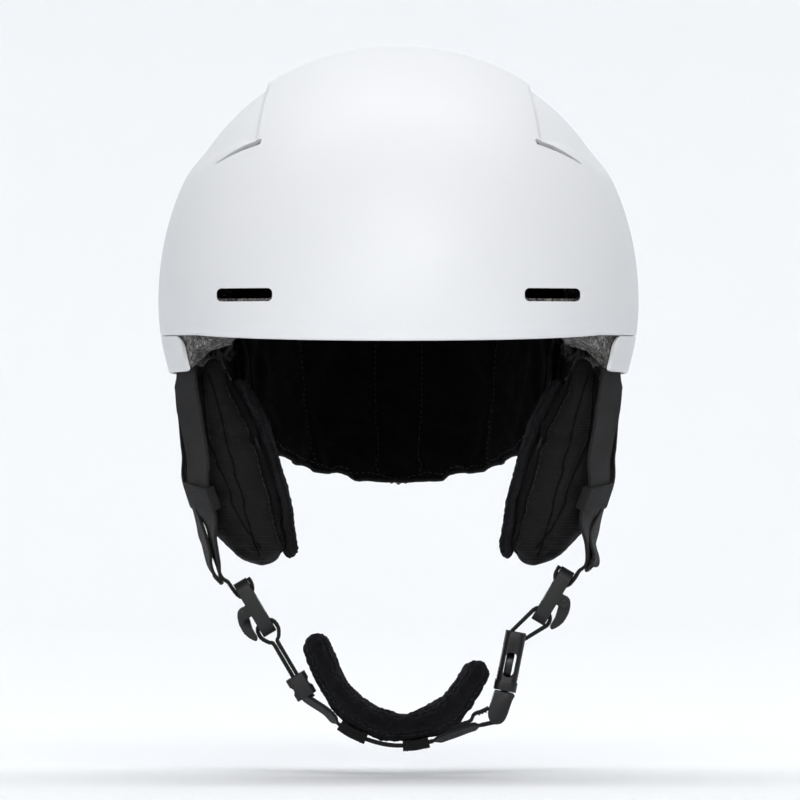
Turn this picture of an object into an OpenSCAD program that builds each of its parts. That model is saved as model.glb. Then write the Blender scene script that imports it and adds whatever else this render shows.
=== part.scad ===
// Ski helmet: in-moulded shell, foam core, lining, head-size adjuster, ear pads,
// webbing harness with dividers, side-release buckle and padded chin strap.
// Millimetres. +Z up, front faces -Y, +X is the wearer's left. The origin is the
// middle of the head opening, level with the lowest point of the brow edge.
// Pieces named left lie towards -X, on the left as seen from the front.

/* [Shell] */
// Outer width at the widest height
shell_w = 222; // [210:1:240]
// Middle to front of the shell
front_len = 135; // [128:1:145]
// Middle to back of the shell
rear_len = 140; // [134:1:150]
// Brow edge to crown
shell_h = 136.6; // [130:0.2:145]
// Height of the widest section above the brow edge
wide_z = 18; // [14:1:22]
// Thickness of the hard skin
skin_t = 2; // [1.6:0.1:2.4]
// Foam thickness at the sides
foam_side = 20.5; // [18:0.5:22]
// Foam thickness at the front and back
foam_end = 24; // [20:0.5:26]
// Foam thickness at the crown
foam_top = 26; // [22:0.5:30]
// Depth of the recessed upper side panels
panel_depth = 2.2; // [0:0.1:3]

/* [Vents] */
// Middle of each front slot from the centre line
vent_x = 70; // [60:1:76]
// Height of the front slots
vent_z = 21; // [18:1:28]
// Slot width
vent_w = 25.5; // [20:0.5:30]
// Slot height
vent_h = 6; // [4:0.5:8]

/* [Ear pads] */
// Nominal depth of an ear pad, front to back
ear_depth = 76; // [64:1:84]
// Middle of the ear pads, front to back
ear_y = -6; // [-10:1:0]
// Plush face thickness
plush_t = 8; // [6:0.5:10]

/* [Harness] */
// Webbing width
web_w = 20; // [16:1:22]
// Webbing thickness
web_t = 1.5; // [1.2:0.1:1.8]
// Front-to-back place of the dividers, the buckle and the chin strap
har_y = -20; // [-24:1:-16]
// Width of the chin pad
chin_w = 34; // [26:1:40]

/* [Adjuster] */
// Dial size; the ribs reach a radius 3.1 less
dial_r = 15; // [13:0.5:17]
// Finger ribs around the dial
dial_ribs = 20; // [12:1:28]

/* [Hidden] */
$fn = 48;

// Colours, from the darkest
fitting_black = [0.07, 0.07, 0.08];
padding_black = [0.08, 0.08, 0.09];
webbing_black = [0.09, 0.09, 0.1];
moulded_black = [0.1, 0.1, 0.11];
prong_black = [0.11, 0.11, 0.12];
cover_black = [0.12, 0.12, 0.13];
band_black = [0.13, 0.13, 0.14];
lining_grey = [0.16, 0.16, 0.18];

pin_r = 1;         // pins of the dividers and the goggle clip
pin_hole_r = 1.06;
rivet_r = 2;       // headband pins, ear pad studs and clip rivets

// ---- numbers ----
function smooth(t) = let (u = min(1, max(0, t))) u * u * (3 - 2 * u);
function unit(v) = v / norm(v);
function total(v) = v * [for (x = v) 1];
function lerp(a, b, t) = a + (b - a) * t;
function reversed(list) = [for (i = [len(list) - 1:-1:0]) list[i]];
// value at a place in a table of [place, value] pairs, joined by straight lines
function along(table, place, i = 0) =
  place <= table[0][0] ? table[0][1] :
  i >= len(table) - 1 ? table[len(table) - 1][1] :
  place <= table[i + 1][0] ? lerp(table[i][1], table[i + 1][1],
    (place - table[i][0]) / (table[i + 1][0] - table[i][0])) :
  along(table, place, i + 1);
// smooth path through points, with a number of steps to each span
function curve(points, steps) = let (n = len(points)) [
  for (i = [0:n - 2]) for (k = [0:(i == n - 2 ? steps : steps - 1)])
    let (t = k / steps, a = points[max(i - 1, 0)], b = points[i], c = points[i + 1],
      d = points[min(i + 2, n - 1)])
    0.5 * (2 * b + (c - a) * t + (2 * a - 5 * b + 4 * c - d) * t * t
      + (3 * b - a - 3 * c + d) * t * t * t)];
// direction of a path at each of its points
function headings(path) = let (last = len(path) - 1)
  [for (i = [0:last]) unit(path[min(i + 1, last)] - path[max(i - 1, 0)])];
// XZ point of a frame turned by tilt about Y
function tilted(origin, tilt, x, z) =
  origin + [x * cos(tilt) + z * sin(tilt), -x * sin(tilt) + z * cos(tilt)];
function flip_x(point) = [-point[0], point[1]];

// ---- solids from points ----
function quad(a, b, c, d) = [[a, b, c], [a, c, d]];
// a closed solid from points and faces, its faces turned to look outwards
module skinned(points, faces) {
  volume = total([for (f = faces) for (i = [1:len(f) - 2])
    points[f[0]] * cross(points[f[i]], points[f[i + 1]])]);
  polyhedron(points, volume > 0 ? [for (f = faces) reversed(f)] : faces, convexity = 8);
}
// a slab between two grids of points; wrap joins its first and last rows
module slab(first, second, wrap = false) {
  rows = len(first);
  columns = len(first[0]);
  far = rows * columns; // index of the second grid's first point
  spans = wrap ? rows - 1 : rows - 2;
  sides = [for (i = [0:spans]) for (j = [0:columns - 2])
    let (a = i * columns + j, b = ((i + 1) % rows) * columns + j)
    each concat(quad(a, b, b + 1, a + 1), quad(far + a, far + a + 1, far + b + 1, far + b))];
  edges = [for (i = [0:spans]) for (j = [0, columns - 1])
    let (a = i * columns + j, b = ((i + 1) % rows) * columns + j)
    each j == 0 ? quad(a, far + a, far + b, b) : quad(a, b, far + b, far + a)];
  ends = wrap ? [] : [for (i = [0, rows - 1]) for (j = [0:columns - 2])
    let (a = i * columns + j)
    each i == 0 ? quad(a, a + 1, far + a + 1, far + a) : quad(a, far + a, far + a + 1, a + 1)];
  skinned([for (grid = [first, second]) for (row = grid) each row], concat(sides, edges, ends));
}
// a closed solid through rings of points, one after another, with a point at each end
module rings(loops, start, end) {
  m = len(loops);
  n = len(loops[0]);
  tip = m * n;
  skinned(concat([for (loop = loops) each loop], [start, end]), concat(
    [for (i = [0:m - 2]) for (j = [0:n - 1]) let (a = i * n + j, b = i * n + (j + 1) % n)
      each quad(a, b, b + n, a + n)],
    [for (j = [0:n - 1]) [tip, (j + 1) % n, j]],
    [for (j = [0:n - 1]) [tip + 1, (m - 1) * n + j, (m - 1) * n + (j + 1) % n]]));
}
function centre(loop) = [for (k = [0:2]) total([for (p = loop) p[k]]) / len(loop)];
// outline of a band along a path in the XZ plane
module band(path, thick) {
  offsets = [for (d = headings(path)) [-d[1], d[0]] * thick / 2];
  polygon(concat(path + offsets, reversed(path - offsets)));
}
// stands an XZ drawing up, w wide, with its middle at y
module upright(y, w)
  translate([0, y + w / 2, 0]) rotate([90, 0, 0]) linear_extrude(w) children();
module rounded(w, h, r) offset(r) square([w - 2 * r, h - 2 * r], center = true);
// round bars along X, centred on [x, y, z], and along Y, centred on [x, z]
module x_bar(place, r, length)
  translate(place) rotate([0, 90, 0]) cylinder(h = length, r = r, center = true);
module y_bar(place, r, length)
  translate([place[0], 0, place[1]]) rotate([90, 0, 0]) cylinder(h = length, r = r, center = true);
// evaluates its children as one faceted solid
module meshed() resize([0, 0, 0]) children();
// pieces are drawn on +X; side -1 mirrors them to -X
module on_side(side) mirror([side < 0 ? 1 : 0, 0, 0]) children();
module both_sides() for (side = [-1, 1]) on_side(side) children();
// stands its children at a place, +Z along the normal
module stand(place, normal)
  translate(place) rotate([0, acos(normal[2]), atan2(normal[1], normal[0])]) children();

// ---- shell surfaces ----
// An azimuth is measured from +X; a bearing from the front, growing towards +X.
plan_power = 2.15; // how square the plan outline is
side_power = 2.08; // how square the upright outline is
skin_tuck = 4.5e-5; // how fast the skin turns in below the widest height
wall_tuck = 2.5e-5; // the same for the head cavity
// half width, front length, rear length, height above wide_z
shell_size = [shell_w / 2, front_len, rear_len, shell_h - wide_z];
cavity = shell_size - [foam_side, foam_end, foam_end, foam_top] - skin_t * [1, 1, 1, 1];

function shrunk(size, inset) = [for (length = size) length - inset];
function plan_r(azimuth, size) = let (across = abs(cos(azimuth)) / size[0],
  lengthwise = abs(sin(azimuth)) / (sin(azimuth) < 0 ? size[1] : size[2]))
  pow(pow(across, plan_power) + pow(lengthwise, plan_power), -1 / plan_power);
function upper_scale(z, height) = let (t = min(1, max(0, (z - wide_z) / height)))
  pow(1 - pow(t, side_power), 1 / side_power);
// point of a surface at a height, or on its dome at an angle down from the crown
function side_point(azimuth, z, size, tuck) = let (
  r = plan_r(azimuth, size)
    * (z > wide_z ? upper_scale(z, size[3]) : 1 - tuck * pow(wide_z - z, 2)))
  [r * cos(azimuth), r * sin(azimuth), z];
function dome_point(azimuth, polar, size) = let (
  r = plan_r(azimuth, size) * pow(sin(polar), 2 / side_power))
  [r * cos(azimuth), r * sin(azimuth), wide_z + size[3] * pow(cos(polar), 2 / side_power)];
function dome_normal(point, half_w, length, height) =
  unit([point[0] / pow(half_w, 2), point[1] / pow(length, 2),
    max(0, point[2] - wide_z) / pow(height, 2)]);
// point inside the outer face of the skin
function skin(azimuth, z, inset) = side_point(azimuth, z, shrunk(shell_size, inset), skin_tuck);
// point inside the head cavity's wall (the foam's inner face)
function wall(azimuth, z, gap) = side_point(azimuth, z, shrunk(cavity, gap), wall_tuck);
// stands its children on the cavity's wall, +Z pointing into the foam; spot is [azimuth, z]
module on_wall(spot) {
  azimuth = spot[0];
  z = spot[1];
  stand(wall(azimuth, z, 0), unit(cross(wall(azimuth + 0.5, z, 0) - wall(azimuth - 0.5, z, 0),
    wall(azimuth, z + 0.5, 0) - wall(azimuth, z - 0.5, 0)))) children();
}
// a band inside the cavity's wall between two bearings; low and high give its edges at a
// bearing, gaps its two faces, and bulge is how far the inner face falls back at the edges
module wall_band(from, to, steps, rows, low, high, gaps, bulge = 0) {
  grid = function (gap, fall) [for (i = [0:steps]) let (bearing = lerp(from, to, i / steps))
    [for (k = [0:rows]) wall(bearing - 90, lerp(low(bearing), high(bearing), k / rows),
      gap - fall * pow(abs(2 * k / rows - 1), 3))]];
  slab(grid(gaps[0], 0), grid(gaps[1], bulge));
}
// how far the upper side panels are set in at a point
function panel(point) = let (x = abs(point[0]), y = point[1], z = point[2],
  edge_x = 60 + 0.1 * max(0, -33 - y))
  panel_depth * smooth((x - edge_x) / 3) * smooth(((65 - x) * 0.8 + (y + 79) * 0.6) / 3)
    * smooth((z - 74) / 18) * (1 - smooth((y - 66) / 26));
// point moved inwards by the panel's depth at the outer point, and by sunk at the upper sides
function set_in(point, outer, sunk) =
  point - dome_normal(outer, shell_w / 2, rear_len, shell_h - wide_z)
    * (panel(outer) + sunk * smooth((abs(outer[0]) - 36) / 12) * smooth((outer[2] - 66) / 8));
// bearing of an azimuth, 0 to 180 on both sides
function from_front(azimuth) = abs(((azimuth + 90 + 540) % 360) - 180);
// brow edge, then the seam between the upper and lower shells
function seam_z(bearing) =
  bearing < 50 ? 2.8 * pow(bearing / 50, 2) : 2.8 - 17 * smooth((bearing - 95) / 60);
// lower edge of the whole helmet: brow, temple lobes, ears, nape
function rim_z(bearing) =
  bearing < 53.6 ? seam_z(bearing) :
  bearing < 58.6 ? lerp(2.8, -13.7, smooth((bearing - 53.6) / 5)) :
  bearing < 105 ? -13.7 - 1.3 * (bearing - 58.6) / 46.4 :
  bearing < 150 ? lerp(-15, -47, smooth((bearing - 105) / 45)) :
  -47 + 11 * smooth((bearing - 156) / 14);
// bearings of the shell's stations, closer at the temple corners
stations = [0, 10, 20, 30, 40, 48, 53, 54.5, 56, 57.5, 59, 65, 74, 84, 94, 104, 114, 124, 134,
  144, 154, 160, 166, 173];
// azimuths of the stations on +X, the back, and the stations on -X
function around(bearings) = concat([for (b = bearings) b - 90], [90],
  reversed([for (b = bearings) if (b > 0) 270 - b]));
azimuths = around(stations);
// angles of the dome's rings down from the crown
polars = [12, 24, 35, 45, 54, 62, 70, 78, 85];
function dome_rings(inset, sunk = 0) = [for (polar = polars) [for (a = azimuths)
  set_in(dome_point(a, polar, shrunk(shell_size, inset)),
    dome_point(a, polar, shell_size), sunk)]];
// rings from below the widest height to the lower edge, which low gives at a bearing
function edge_rings(inset, low) = [for (k = [0.15, 0.45, 0.75, 1]) [for (a = azimuths)
  skin(a, lerp(wide_z - 1, low(from_front(a)), k), inset)]];

// ---- vents ----
rear_vent = [34, 66]; // x and z of the middle
rear_vent_size = [30, 7];
rear_vent_r = 3;
module front_slots(length) for (s = [-1, 1]) translate([s * vent_x, -140, vent_z])
  rotate([-90, 0, 0]) linear_extrude(length) rounded(vent_w, vent_h, 2.2, $fn = 16);
module rear_slots() for (s = [-1, 1]) translate([s * rear_vent[0], 60, rear_vent[1]])
  rotate([-90, 0, 0]) linear_extrude(90)
    rounded(rear_vent_size[0], rear_vent_size[1], rear_vent_r, $fn = 16);
// a slot between an upper and a lower end, each [place, radius, inward slope, inner radius]
module sloped_slot(depth, upper, lower) hull() {
  translate(upper[0]) sphere(upper[1], $fn = 8);
  translate(lower[0]) sphere(lower[1], $fn = 8);
  translate(upper[0] + depth * upper[2]) sphere(upper[3], $fn = 8);
  translate(lower[0] + depth * lower[2]) sphere(lower[3], $fn = 8);
}
// tapering inlet at the front edge of each side panel, and the outlet at its rear end
module side_slots(depth) both_sides() {
  sloped_slot(depth, [[65.5, -80.5, 93.6], 1, [-0.55, 0.5, -0.6], 1],
    [[86, -60, 82.6], 0.4, [-0.75, 0.4, -0.5], 0.6]);
  sloped_slot(depth, [[62, 82, 92], 2.6, [-0.5, -0.5, -0.6], 2.6],
    [[80, 62, 84], 1.2, [-0.7, -0.3, -0.5], 1.2]);
}

// ---- shells and foam ----
module outer_shell() color("whitesmoke") meshed() difference() {
  seam = function (bearing) seam_z(bearing);
  rings(concat(dome_rings(0), edge_rings(0, seam), reversed(edge_rings(skin_t, seam)),
    reversed(dome_rings(skin_t))), [0, 0, shell_h], [0, 0, shell_h - skin_t]);
  front_slots(60);
  rear_slots();
  side_slots(16);
}
seam_lap = 0.4; // the lower shell starts this far below the seam
module lower_shell() color("gainsboro") {
  grid = function (inset) [for (a = around([for (b = stations) if (b > 54) b]))
    let (bearing = from_front(a))
    [for (k = [0:0.25:1]) skin(a, lerp(seam_z(bearing) - seam_lap, rim_z(bearing), k), inset)]];
  slab(grid(0), grid(skin_t));
}
foam_gap = 0.3; // between the skin and the foam
foam_rise = 1.2; // from the rim up to the foam's outer edge
// height of the foam's inner edge above its outer edge
function foam_slope(bearing) =
  bearing < 53 ? 1.5 :
  bearing < 80 ? 15 * smooth((bearing - 53) / 4) - 8 * smooth((bearing - 64) / 16) + 0.5 :
  7.5 - 3 * smooth((bearing - 80) / 50);
plug_size = [5.6, 23.6];
plug_room = 0.8; // added to both sizes for the plug's hole in the foam
// foam core between the shells and the lining
module foam_core() color("dimgray") meshed() difference() {
  inset = skin_t + foam_gap;
  low = function (bearing) rim_z(bearing) + foam_rise;
  inner = [for (k = [1, 0.66, 0.33, 0]) [for (a = azimuths) let (bearing = from_front(a))
    wall(a, lerp(wide_z - 1, low(bearing) + foam_slope(bearing), k), 0)]];
  inner_dome = [for (polar = polars) [for (a = azimuths) dome_point(a, polar, cavity)]];
  rings(concat(dome_rings(inset, 1.1), edge_rings(inset, low), inner, reversed(inner_dome)),
    [0, 0, shell_h - inset], [0, 0, wide_z + cavity[3]]);
  front_slots(80);
  rear_slots();
  side_slots(26);
  anchor_places() translate([0, 0, -20]) linear_extrude(36)
    square([plug_size[0] + plug_room, plug_size[1] + plug_room], center = true);
}
// the four strap anchors: front and rear on each side
module anchor_places() both_sides() for (azimuth = [-20, 20]) {
  place = skin(azimuth, -12, 9.5);
  translate([place[0], place[1], 0]) rotate([0, 0, azimuth * 0.7]) children();
}
module strap_anchor_plugs() color("black") anchor_places()
  translate([0, 0, -9]) linear_extrude(24.6) rounded(plug_size[0], plug_size[1], 1.5, $fn = 16);

// ---- lining ----
// a dome with six long openings
module crown_liner() color(lining_grey) meshed() difference() {
  gaps = [2, 8.6]; // outer and inner faces, in from the cavity's wall
  loops = function (gap) [for (polar = [14, 30, 45, 58, 70, 80])
    [for (a = [0:15:345]) dome_point(a, polar, shrunk(cavity, gap))]];
  rings(concat(loops(gaps[0]), reversed(loops(gaps[1]))),
    [0, 0, wide_z + cavity[3] - gaps[0]], [0, 0, wide_z + cavity[3] - gaps[1]]);
  for (s = [-1, 1]) for (y = [-48, 0, 48])
    translate([s * 30, y, 40]) linear_extrude(90) rounded(15, 34, 6, $fn = 16);
}
lining_top = 27;
module lining_band(from, to, steps, low, gaps)
  wall_band(from, to, steps, 4, low, function (bearing) lining_top, gaps,
    bulge = 1.6 * (gaps[1] - gaps[0]) / 6);
module brow_pad() color(lining_grey)
  lining_band(-56, 56, 20, function (bearing) 3.4, [0.8, 8.5]);
module temple_pad(side) color(lining_grey) on_side(side)
  lining_band(58, 109, 9, function (bearing) lerp(-2, -7.5, smooth((bearing - 58) / 8))
    - 3 * smooth((bearing - 100) / 9), [3.6, 9.2]);
module temple_pad_left() temple_pad(-1);
module temple_pad_right() temple_pad(1);
module nape_pad() color(lining_grey)
  wall_band(123, 237, 20, 5, function (bearing) -66 + 14 * pow((180 - bearing) / 46, 2)
    + 12 * smooth((abs(180 - bearing) - 42) / 18), function (bearing) 12, [5, 13.5], bulge = 2.6);
// azimuth and angle down from the crown
patch_spots = [[0, 0], [45, 30], [135, 30], [225, 30], [315, 30], [0, 62], [180, 62]];
module liner_hook_patches() color("black") for (spot = patch_spots) {
  point = dome_point(spot[0], spot[1], cavity);
  normal = dome_normal(point, cavity[0], cavity[1], cavity[3]);
  stand(point - normal * 1.5, normal) cylinder(h = 0.45, r = 6);
}
// plates across the rear slots, each with a row of openings
module rear_vent_screens() color("black")
  for (s = [-1, 1]) translate([s * rear_vent[0], 0, rear_vent[1]]) difference() {
    translate([0, 103, 0]) rotate([-90, 0, 0]) linear_extrude(1.6)
      rounded(rear_vent_size[0] - 0.8, rear_vent_size[1] - 0.8, rear_vent_r - 0.4, $fn = 32);
    for (i = [-4:4]) translate([i * 3.1 - 1, 100, -2.1]) cube([2, 8, 4.2]);
  }

// ---- head-size adjuster ----
dial_z = -52;
// frame of the dial: +Z points back and down, square to the cradle
module at_dial() translate(wall(90, dial_z, 0))
  rotate([-90 - atan(cavity[2] * 2 * wall_tuck * (wide_z - dial_z)), 0, 0]) children();
module fit_cradle() color(moulded_black) difference() {
  wall_band(124, 236, 16, 3,
    function (bearing) lerp(-62, -22, smooth((abs(180 - bearing) - 14) / 34)),
    function (bearing) lerp(-20, -8, smooth(abs(180 - bearing) / 40)), [2.4, 4.2]);
  at_dial() translate([0, 0, -8]) cylinder(h = 30, r = 4.6);
}
// housing on the back of the cradle, with a round seat; the dial turns on its rear face
module fit_cover() color(moulded_black) at_dial() difference() {
  union() {
    translate([0, 0, -1.6]) linear_extrude(4.6) rounded(38, 22, 4, $fn = 24);
    translate([0, 0, 2.9]) cylinder(h = 1.2, r = dial_r - 2);
  }
  translate([0, 0, -4]) cylinder(h = 12, r = 3.3);
}
// ribbed dial with a round groove in its rear face
module fit_dial() color("black") at_dial() translate([0, 0, 4.3]) difference() {
  linear_extrude(6) polygon([for (i = [0:dial_ribs * 8 - 1]) let (angle = i * 45 / dial_ribs)
    (dial_r - 3.6 + 0.5 * cos(angle * dial_ribs)) * [cos(angle), sin(angle)]]);
  translate([0, 0, -1]) cylinder(h = 9, r = 2.2);
  translate([0, 0, 4.4]) rotate_extrude() translate([dial_r - 10, 0]) square([4, 3]);
}
// hollow shaft with eight teeth at its inner end
module dial_pinion() color("dimgray") at_dial() translate([0, 0, -3.6]) difference() {
  tooth_h = 1.3;
  union() {
    cylinder(h = 7.8, r = 3.22);
    cylinder(h = tooth_h, r = 3.5);
    for (i = [0:7]) rotate([0, 0, i * 45]) translate([3, -0.6, 0]) cube([1.3, 1.2, tooth_h]);
  }
  translate([0, 0, -1]) cylinder(h = 12, r = 1.4);
}
// screw with a cross slot in its head
module dial_screw() color("silver") at_dial() translate([0, 0, -3.4]) {
  cylinder(h = 12.9, r = 1.35);
  translate([0, 0, 12.2]) difference() {
    cylinder(h = 1.5, r = 2.1);
    for (angle = [0, 90]) rotate([0, 0, angle]) translate([-1.4, -0.3, 0.7]) cube([2.8, 0.6, 2]);
  }
}
// flat belts from the temple pins back beside the cradle's arms
band_pin = [-15, 8.8]; // azimuth and z
rivet_hole_r = 2.08;
module headband(side) color(band_black) on_side(side) difference() {
  wall_band(70, 129, 12, 2,
    function (bearing) lerp(3.4, -20, smooth((bearing - 98) / 28)),
    function (bearing) lerp(14.6, -9, smooth((bearing - 98) / 28)), [0.9, 1.9]);
  on_wall(band_pin) cylinder(h = 20, r = rivet_hole_r, center = true);
}
module headband_left() headband(-1);
module headband_right() headband(1);
// rivet on the cavity's wall, its head on the inner side at height z of the wall's frame
module wall_rivet(z, length, head_h, head_r) {
  translate([0, 0, z]) cylinder(h = length, r = rivet_r);
  translate([0, 0, z]) cylinder(h = head_h, r = head_r);
}
module headband_pins() color("black") both_sides() on_wall(band_pin)
  wall_rivet(z = -2.9, length = 2.5, head_h = 0.8, head_r = 3.6);

// ---- ear pads ----
// [z, x] of the outer and inner faces, and [z, half depth]
outer_x = [[-105, 64], [-103, 69], [-100, 74], [-94, 80.4], [-87, 87], [-80, 92.4],
  [-73, 95.2], [-64, 97], [-52, 98.4], [-40, 100.6], [-28, 103], [-14, 103]];
inner_x = [[-105, 62], [-103, 53], [-101, 49.5], [-94, 46.9], [-85, 48.8], [-73, 50.2],
  [-64, 53], [-53, 55.9], [-45, 58.7], [-35, 63], [-20, 70.8], [-14, 75]];
half_depths = [[-105, 9], [-103, 16], [-98, 23], [-86, 31], [-66, 36], [-40, 36.5], [-14, 34.5]];
cover_gap = 2; // room outside the cover for the straps
ear_bow = 4; // how far the pad's front and rear edges bend inwards
cover_power = 2.1; // fullness of the cover's outer face
function ear_in(z) = along(inner_x, z);
function ear_half(z) = along(half_depths, z) * ear_depth / 76;
function cover_out(z) = along(outer_x, z) - cover_gap;
function cover_in(z) = ear_in(z) + plush_t + 2.4;
function edge_x(outer, inner) = inner + (outer - inner) * 0.4;
// outline at one height between its outer and inner faces, n points, bowed round the head;
// the powers are the fullness of the two faces
function lens(outer, inner, z, half_depth, n, outer_power, inner_power) = [
  for (i = [0:n - 1])
    let (angle = 360 * i / n, c = cos(angle), s = sin(angle),
      power = c > 0 ? outer_power : inner_power,
      u = sign(c) * pow(abs(c), 2 / power), v = sign(s) * pow(abs(s), 2 / power),
      middle = edge_x(outer, inner))
    [middle + (c > 0 ? outer - middle : middle - inner) * u - ear_bow * v * v,
      ear_y + half_depth * v, z]];
// closes a pad's outlines with a point above the first and below the last
module pad(loops, above, below) rings(loops, centre(loops[0]) + [0, 0, above],
  centre(loops[len(loops) - 1]) - [0, 0, below]);
module ear_pad_cover(side) color(cover_black) on_side(side)
  pad([for (z = [-14.6, -17, -24, -36, -50, -64, -76, -86, -94, -99.5, -103])
    let (inset = z > -16 ? 1.5 : 0)
    lens(cover_out(z) - inset, cover_in(z), z, ear_half(z) - inset, 22, cover_power, 3.2)],
    above = 0.3, below = 1);
module ear_pad_cover_left() ear_pad_cover(-1);
module ear_pad_cover_right() ear_pad_cover(1);
module ear_pad_plush(side) color(padding_black) on_side(side)
  pad([for (z = [-17, -20, -30, -44, -58, -70, -80, -88, -94, -97])
    let (inset = z > -19 ? 6 : z < -90 ? 7 : 3)
    lens(ear_in(z) + plush_t, ear_in(z), z, ear_half(z) - inset, 18, 3, 3)],
    above = 0.2, below = 0.5);
module ear_pad_plush_left() ear_pad_plush(-1);
module ear_pad_plush_right() ear_pad_plush(1);
// thin stiffener between the cover and the plush
module ear_pad_frame(side) color("black") on_side(side) {
  grid = function (gap) [for (z = [-16, -26, -40, -54, -68, -80, -90])
    [for (v = [-0.8, -0.5, -0.2, 0.2, 0.5, 0.8])
      [ear_in(z) + plush_t + gap - ear_bow * v * v, ear_y + (ear_half(z) - 6) * v, z]]];
  slab(grid(0.6), grid(1.8));
}
module ear_pad_frame_left() ear_pad_frame(-1);
module ear_pad_frame_right() ear_pad_frame(1);
// plates on the foam's inner face, with two studs each
stud_spots = [[-16, -4.6], [2, -4.6]]; // azimuth and z
module ear_pad_hangers() color("black") both_sides() difference() {
  wall_band(68, 98, 6, 2, function (bearing) -12.9, function (bearing) -1.4, [0.9, 2.1]);
  for (spot = stud_spots) on_wall(spot) cylinder(h = 20, r = rivet_hole_r, center = true);
}
module ear_pad_studs() color("silver") both_sides() for (spot = stud_spots) on_wall(spot)
  wall_rivet(z = -3.2, length = 2.8, head_h = 0.9, head_r = 3.4);

// ---- straps over the ear pads ----
// middles of the dividers, [x, z], and their lean
divider_left = [66.2, -122.4];
divider_right = [71.2, -117];
divider_tilt = 30.5;
// point of a divider's own frame: x out of its face, z along it, up
function div_pt(divider, x, z) = tilted(divider, divider_tilt, x, z);
function div_pt3(divider, x, z, y = har_y) = let (p = div_pt(divider, x, z)) [p[0], y, p[1]];
// x of the cover's outer face, used to lay the straps over it
function ear_face(y, z) = let (t = min(0.999, abs(y - ear_y) / ear_half(z)),
  outer = cover_out(z), middle = edge_x(outer, cover_in(z)))
  middle + (outer - middle) * pow(1 - pow(t, cover_power), 1 / cover_power) - ear_bow * t * t;
// webbing laid over the pad through [y, z] points, lifted over the pad, then along the tail;
// gives the middle line, the directions across, and the directions out of the face
function laid(points, lift, tail) = let (
  middle = curve(concat([for (p = points)
    [ear_face(p[0], p[1]) + lift * (p[1] > -20 ? 0.8 : 1) + web_t / 2, p[0], p[1]]], tail), 3),
  ahead = headings(middle),
  across = [for (i = [0:len(middle) - 1])
    let (y = middle[i][1], z = middle[i][2],
      slope = (ear_face(y + 7, z) - ear_face(y - 7, z)) / 14,
      level = [slope * (1 - smooth((-74 - z) / 16)), 1, 0])
    unit(level - ahead[i] * (level * ahead[i]))])
  [middle, across, [for (i = [0:len(middle) - 1]) unit(cross(ahead[i], across[i]))]];
// point of a laid line's step i, moved across and out
function laid_pt(line, i, across, out) = line[0][i] + line[1][i] * across + line[2][i] * out;
// over the pad, then through the divider's upper window and back up
function front_line(divider) = laid(
  [[-35, -15.5], [-35, -26], [-34.5, -40], [-33.5, -54], [-31, -66]], 3.4,
  concat([[87.2, -27.5, -82], div_pt3(divider, 5.8, 23, har_y - 1)],
    [for (p = [[4.7, 16], [4.4, 11.5], [3.6, 8.1], [1.6, 6.3], [-1.6, 6.3], [-3.6, 8.1],
      [-4.4, 11], [-4.2, 13.4]]) div_pt3(divider, p[0], p[1])]));
function rear_line(divider) = laid(
  [[23, -16.6], [21.5, -26], [18, -40], [12, -54], [4, -66]], 2.6,
  [[95.6, -5.5, -79], [91.4, -14, -90], div_pt3(divider, 8.8, 24), div_pt3(divider, 7.9, 18)]);
module laid_strap(side, line) color(webbing_black) on_side(side) {
  grid = function (out) [for (i = [0:len(line[0]) - 1])
    [for (k = [-1, -0.4, 0.4, 1]) laid_pt(line, i, web_w / 2 * k, out)]];
  slab(grid(web_t / 2), grid(-web_t / 2));
}
module front_strap_left() laid_strap(-1, front_line(divider_left));
module front_strap_right() laid_strap(1, front_line(divider_right));
module rear_strap_left() laid_strap(-1, rear_line(divider_left));
module rear_strap_right() laid_strap(1, rear_line(divider_right));
// loop round the front strap over the ear pad, between two steps of its line
module strap_keeper(side) color(fitting_black) on_side(side) {
  line = front_line(divider_right);
  grid = function (half, back, face)
    [for (p = [[-half, back], [0, back], [half, back], [half, face], [0, face], [-half, face]])
      [for (i = [12:14]) laid_pt(line, i, p[0], p[1])]];
  slab(grid(web_w / 2 + 2.4, -2.3, 2.5), grid(web_w / 2 + 1, -1.15, 1.2), wrap = true);
}
module strap_keeper_left() strap_keeper(-1);
module strap_keeper_right() strap_keeper(1);

// ---- strap dividers ----
// a ring with two windows; a cam lever turns on a pin between its ears
lever_pivot = [5.6, 0.1]; // x, z in the divider's frame
lower_bar_z = -11.8;
window_w = 21.8; // windows for the webbing, here and in the buckle housing
module at_divider(divider, side) on_side(side)
  translate([divider[0], har_y, divider[1]]) rotate([0, divider_tilt, 0]) children();
module divider_body(divider, side) color(fitting_black) at_divider(divider, side) difference() {
  union() {
    difference() {
      rotate([0, 90, 0]) translate([0, 0, -3.2]) linear_extrude(6.4) rounded(28, 27.5, 5, $fn = 32);
      translate([1.9, -10.4, -4.5]) cube([6, 20.8, 9]);
    }
    for (s = [-1, 1]) upright(s * 12, 3) {
      translate(lever_pivot) circle(2.8, $fn = 32);
      translate([2, -2.7]) square([3.6, 5.6]);
    }
  }
  for (z = [6.6, -7]) translate([-10, -window_w / 2, z - 2.7]) cube([20, window_w, 5.4]);
  y_bar(lever_pivot, pin_hole_r, 60);
}
module divider_body_left() divider_body(divider_left, -1);
module divider_body_right() divider_body(divider_right, 1);
module divider_pins() color("dimgray") for (place = [[divider_left, -1], [divider_right, 1]])
  at_divider(place[0], place[1]) y_bar(lever_pivot, pin_r, 27.6);
lever_outline = [[4.4, 2.8], [7.5, 2.5], [9.9, -2], [10.1, -8.5], [7.6, -13.4], [6, -12.6],
  [5.9, -8], [4.6, -2.6]];
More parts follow.
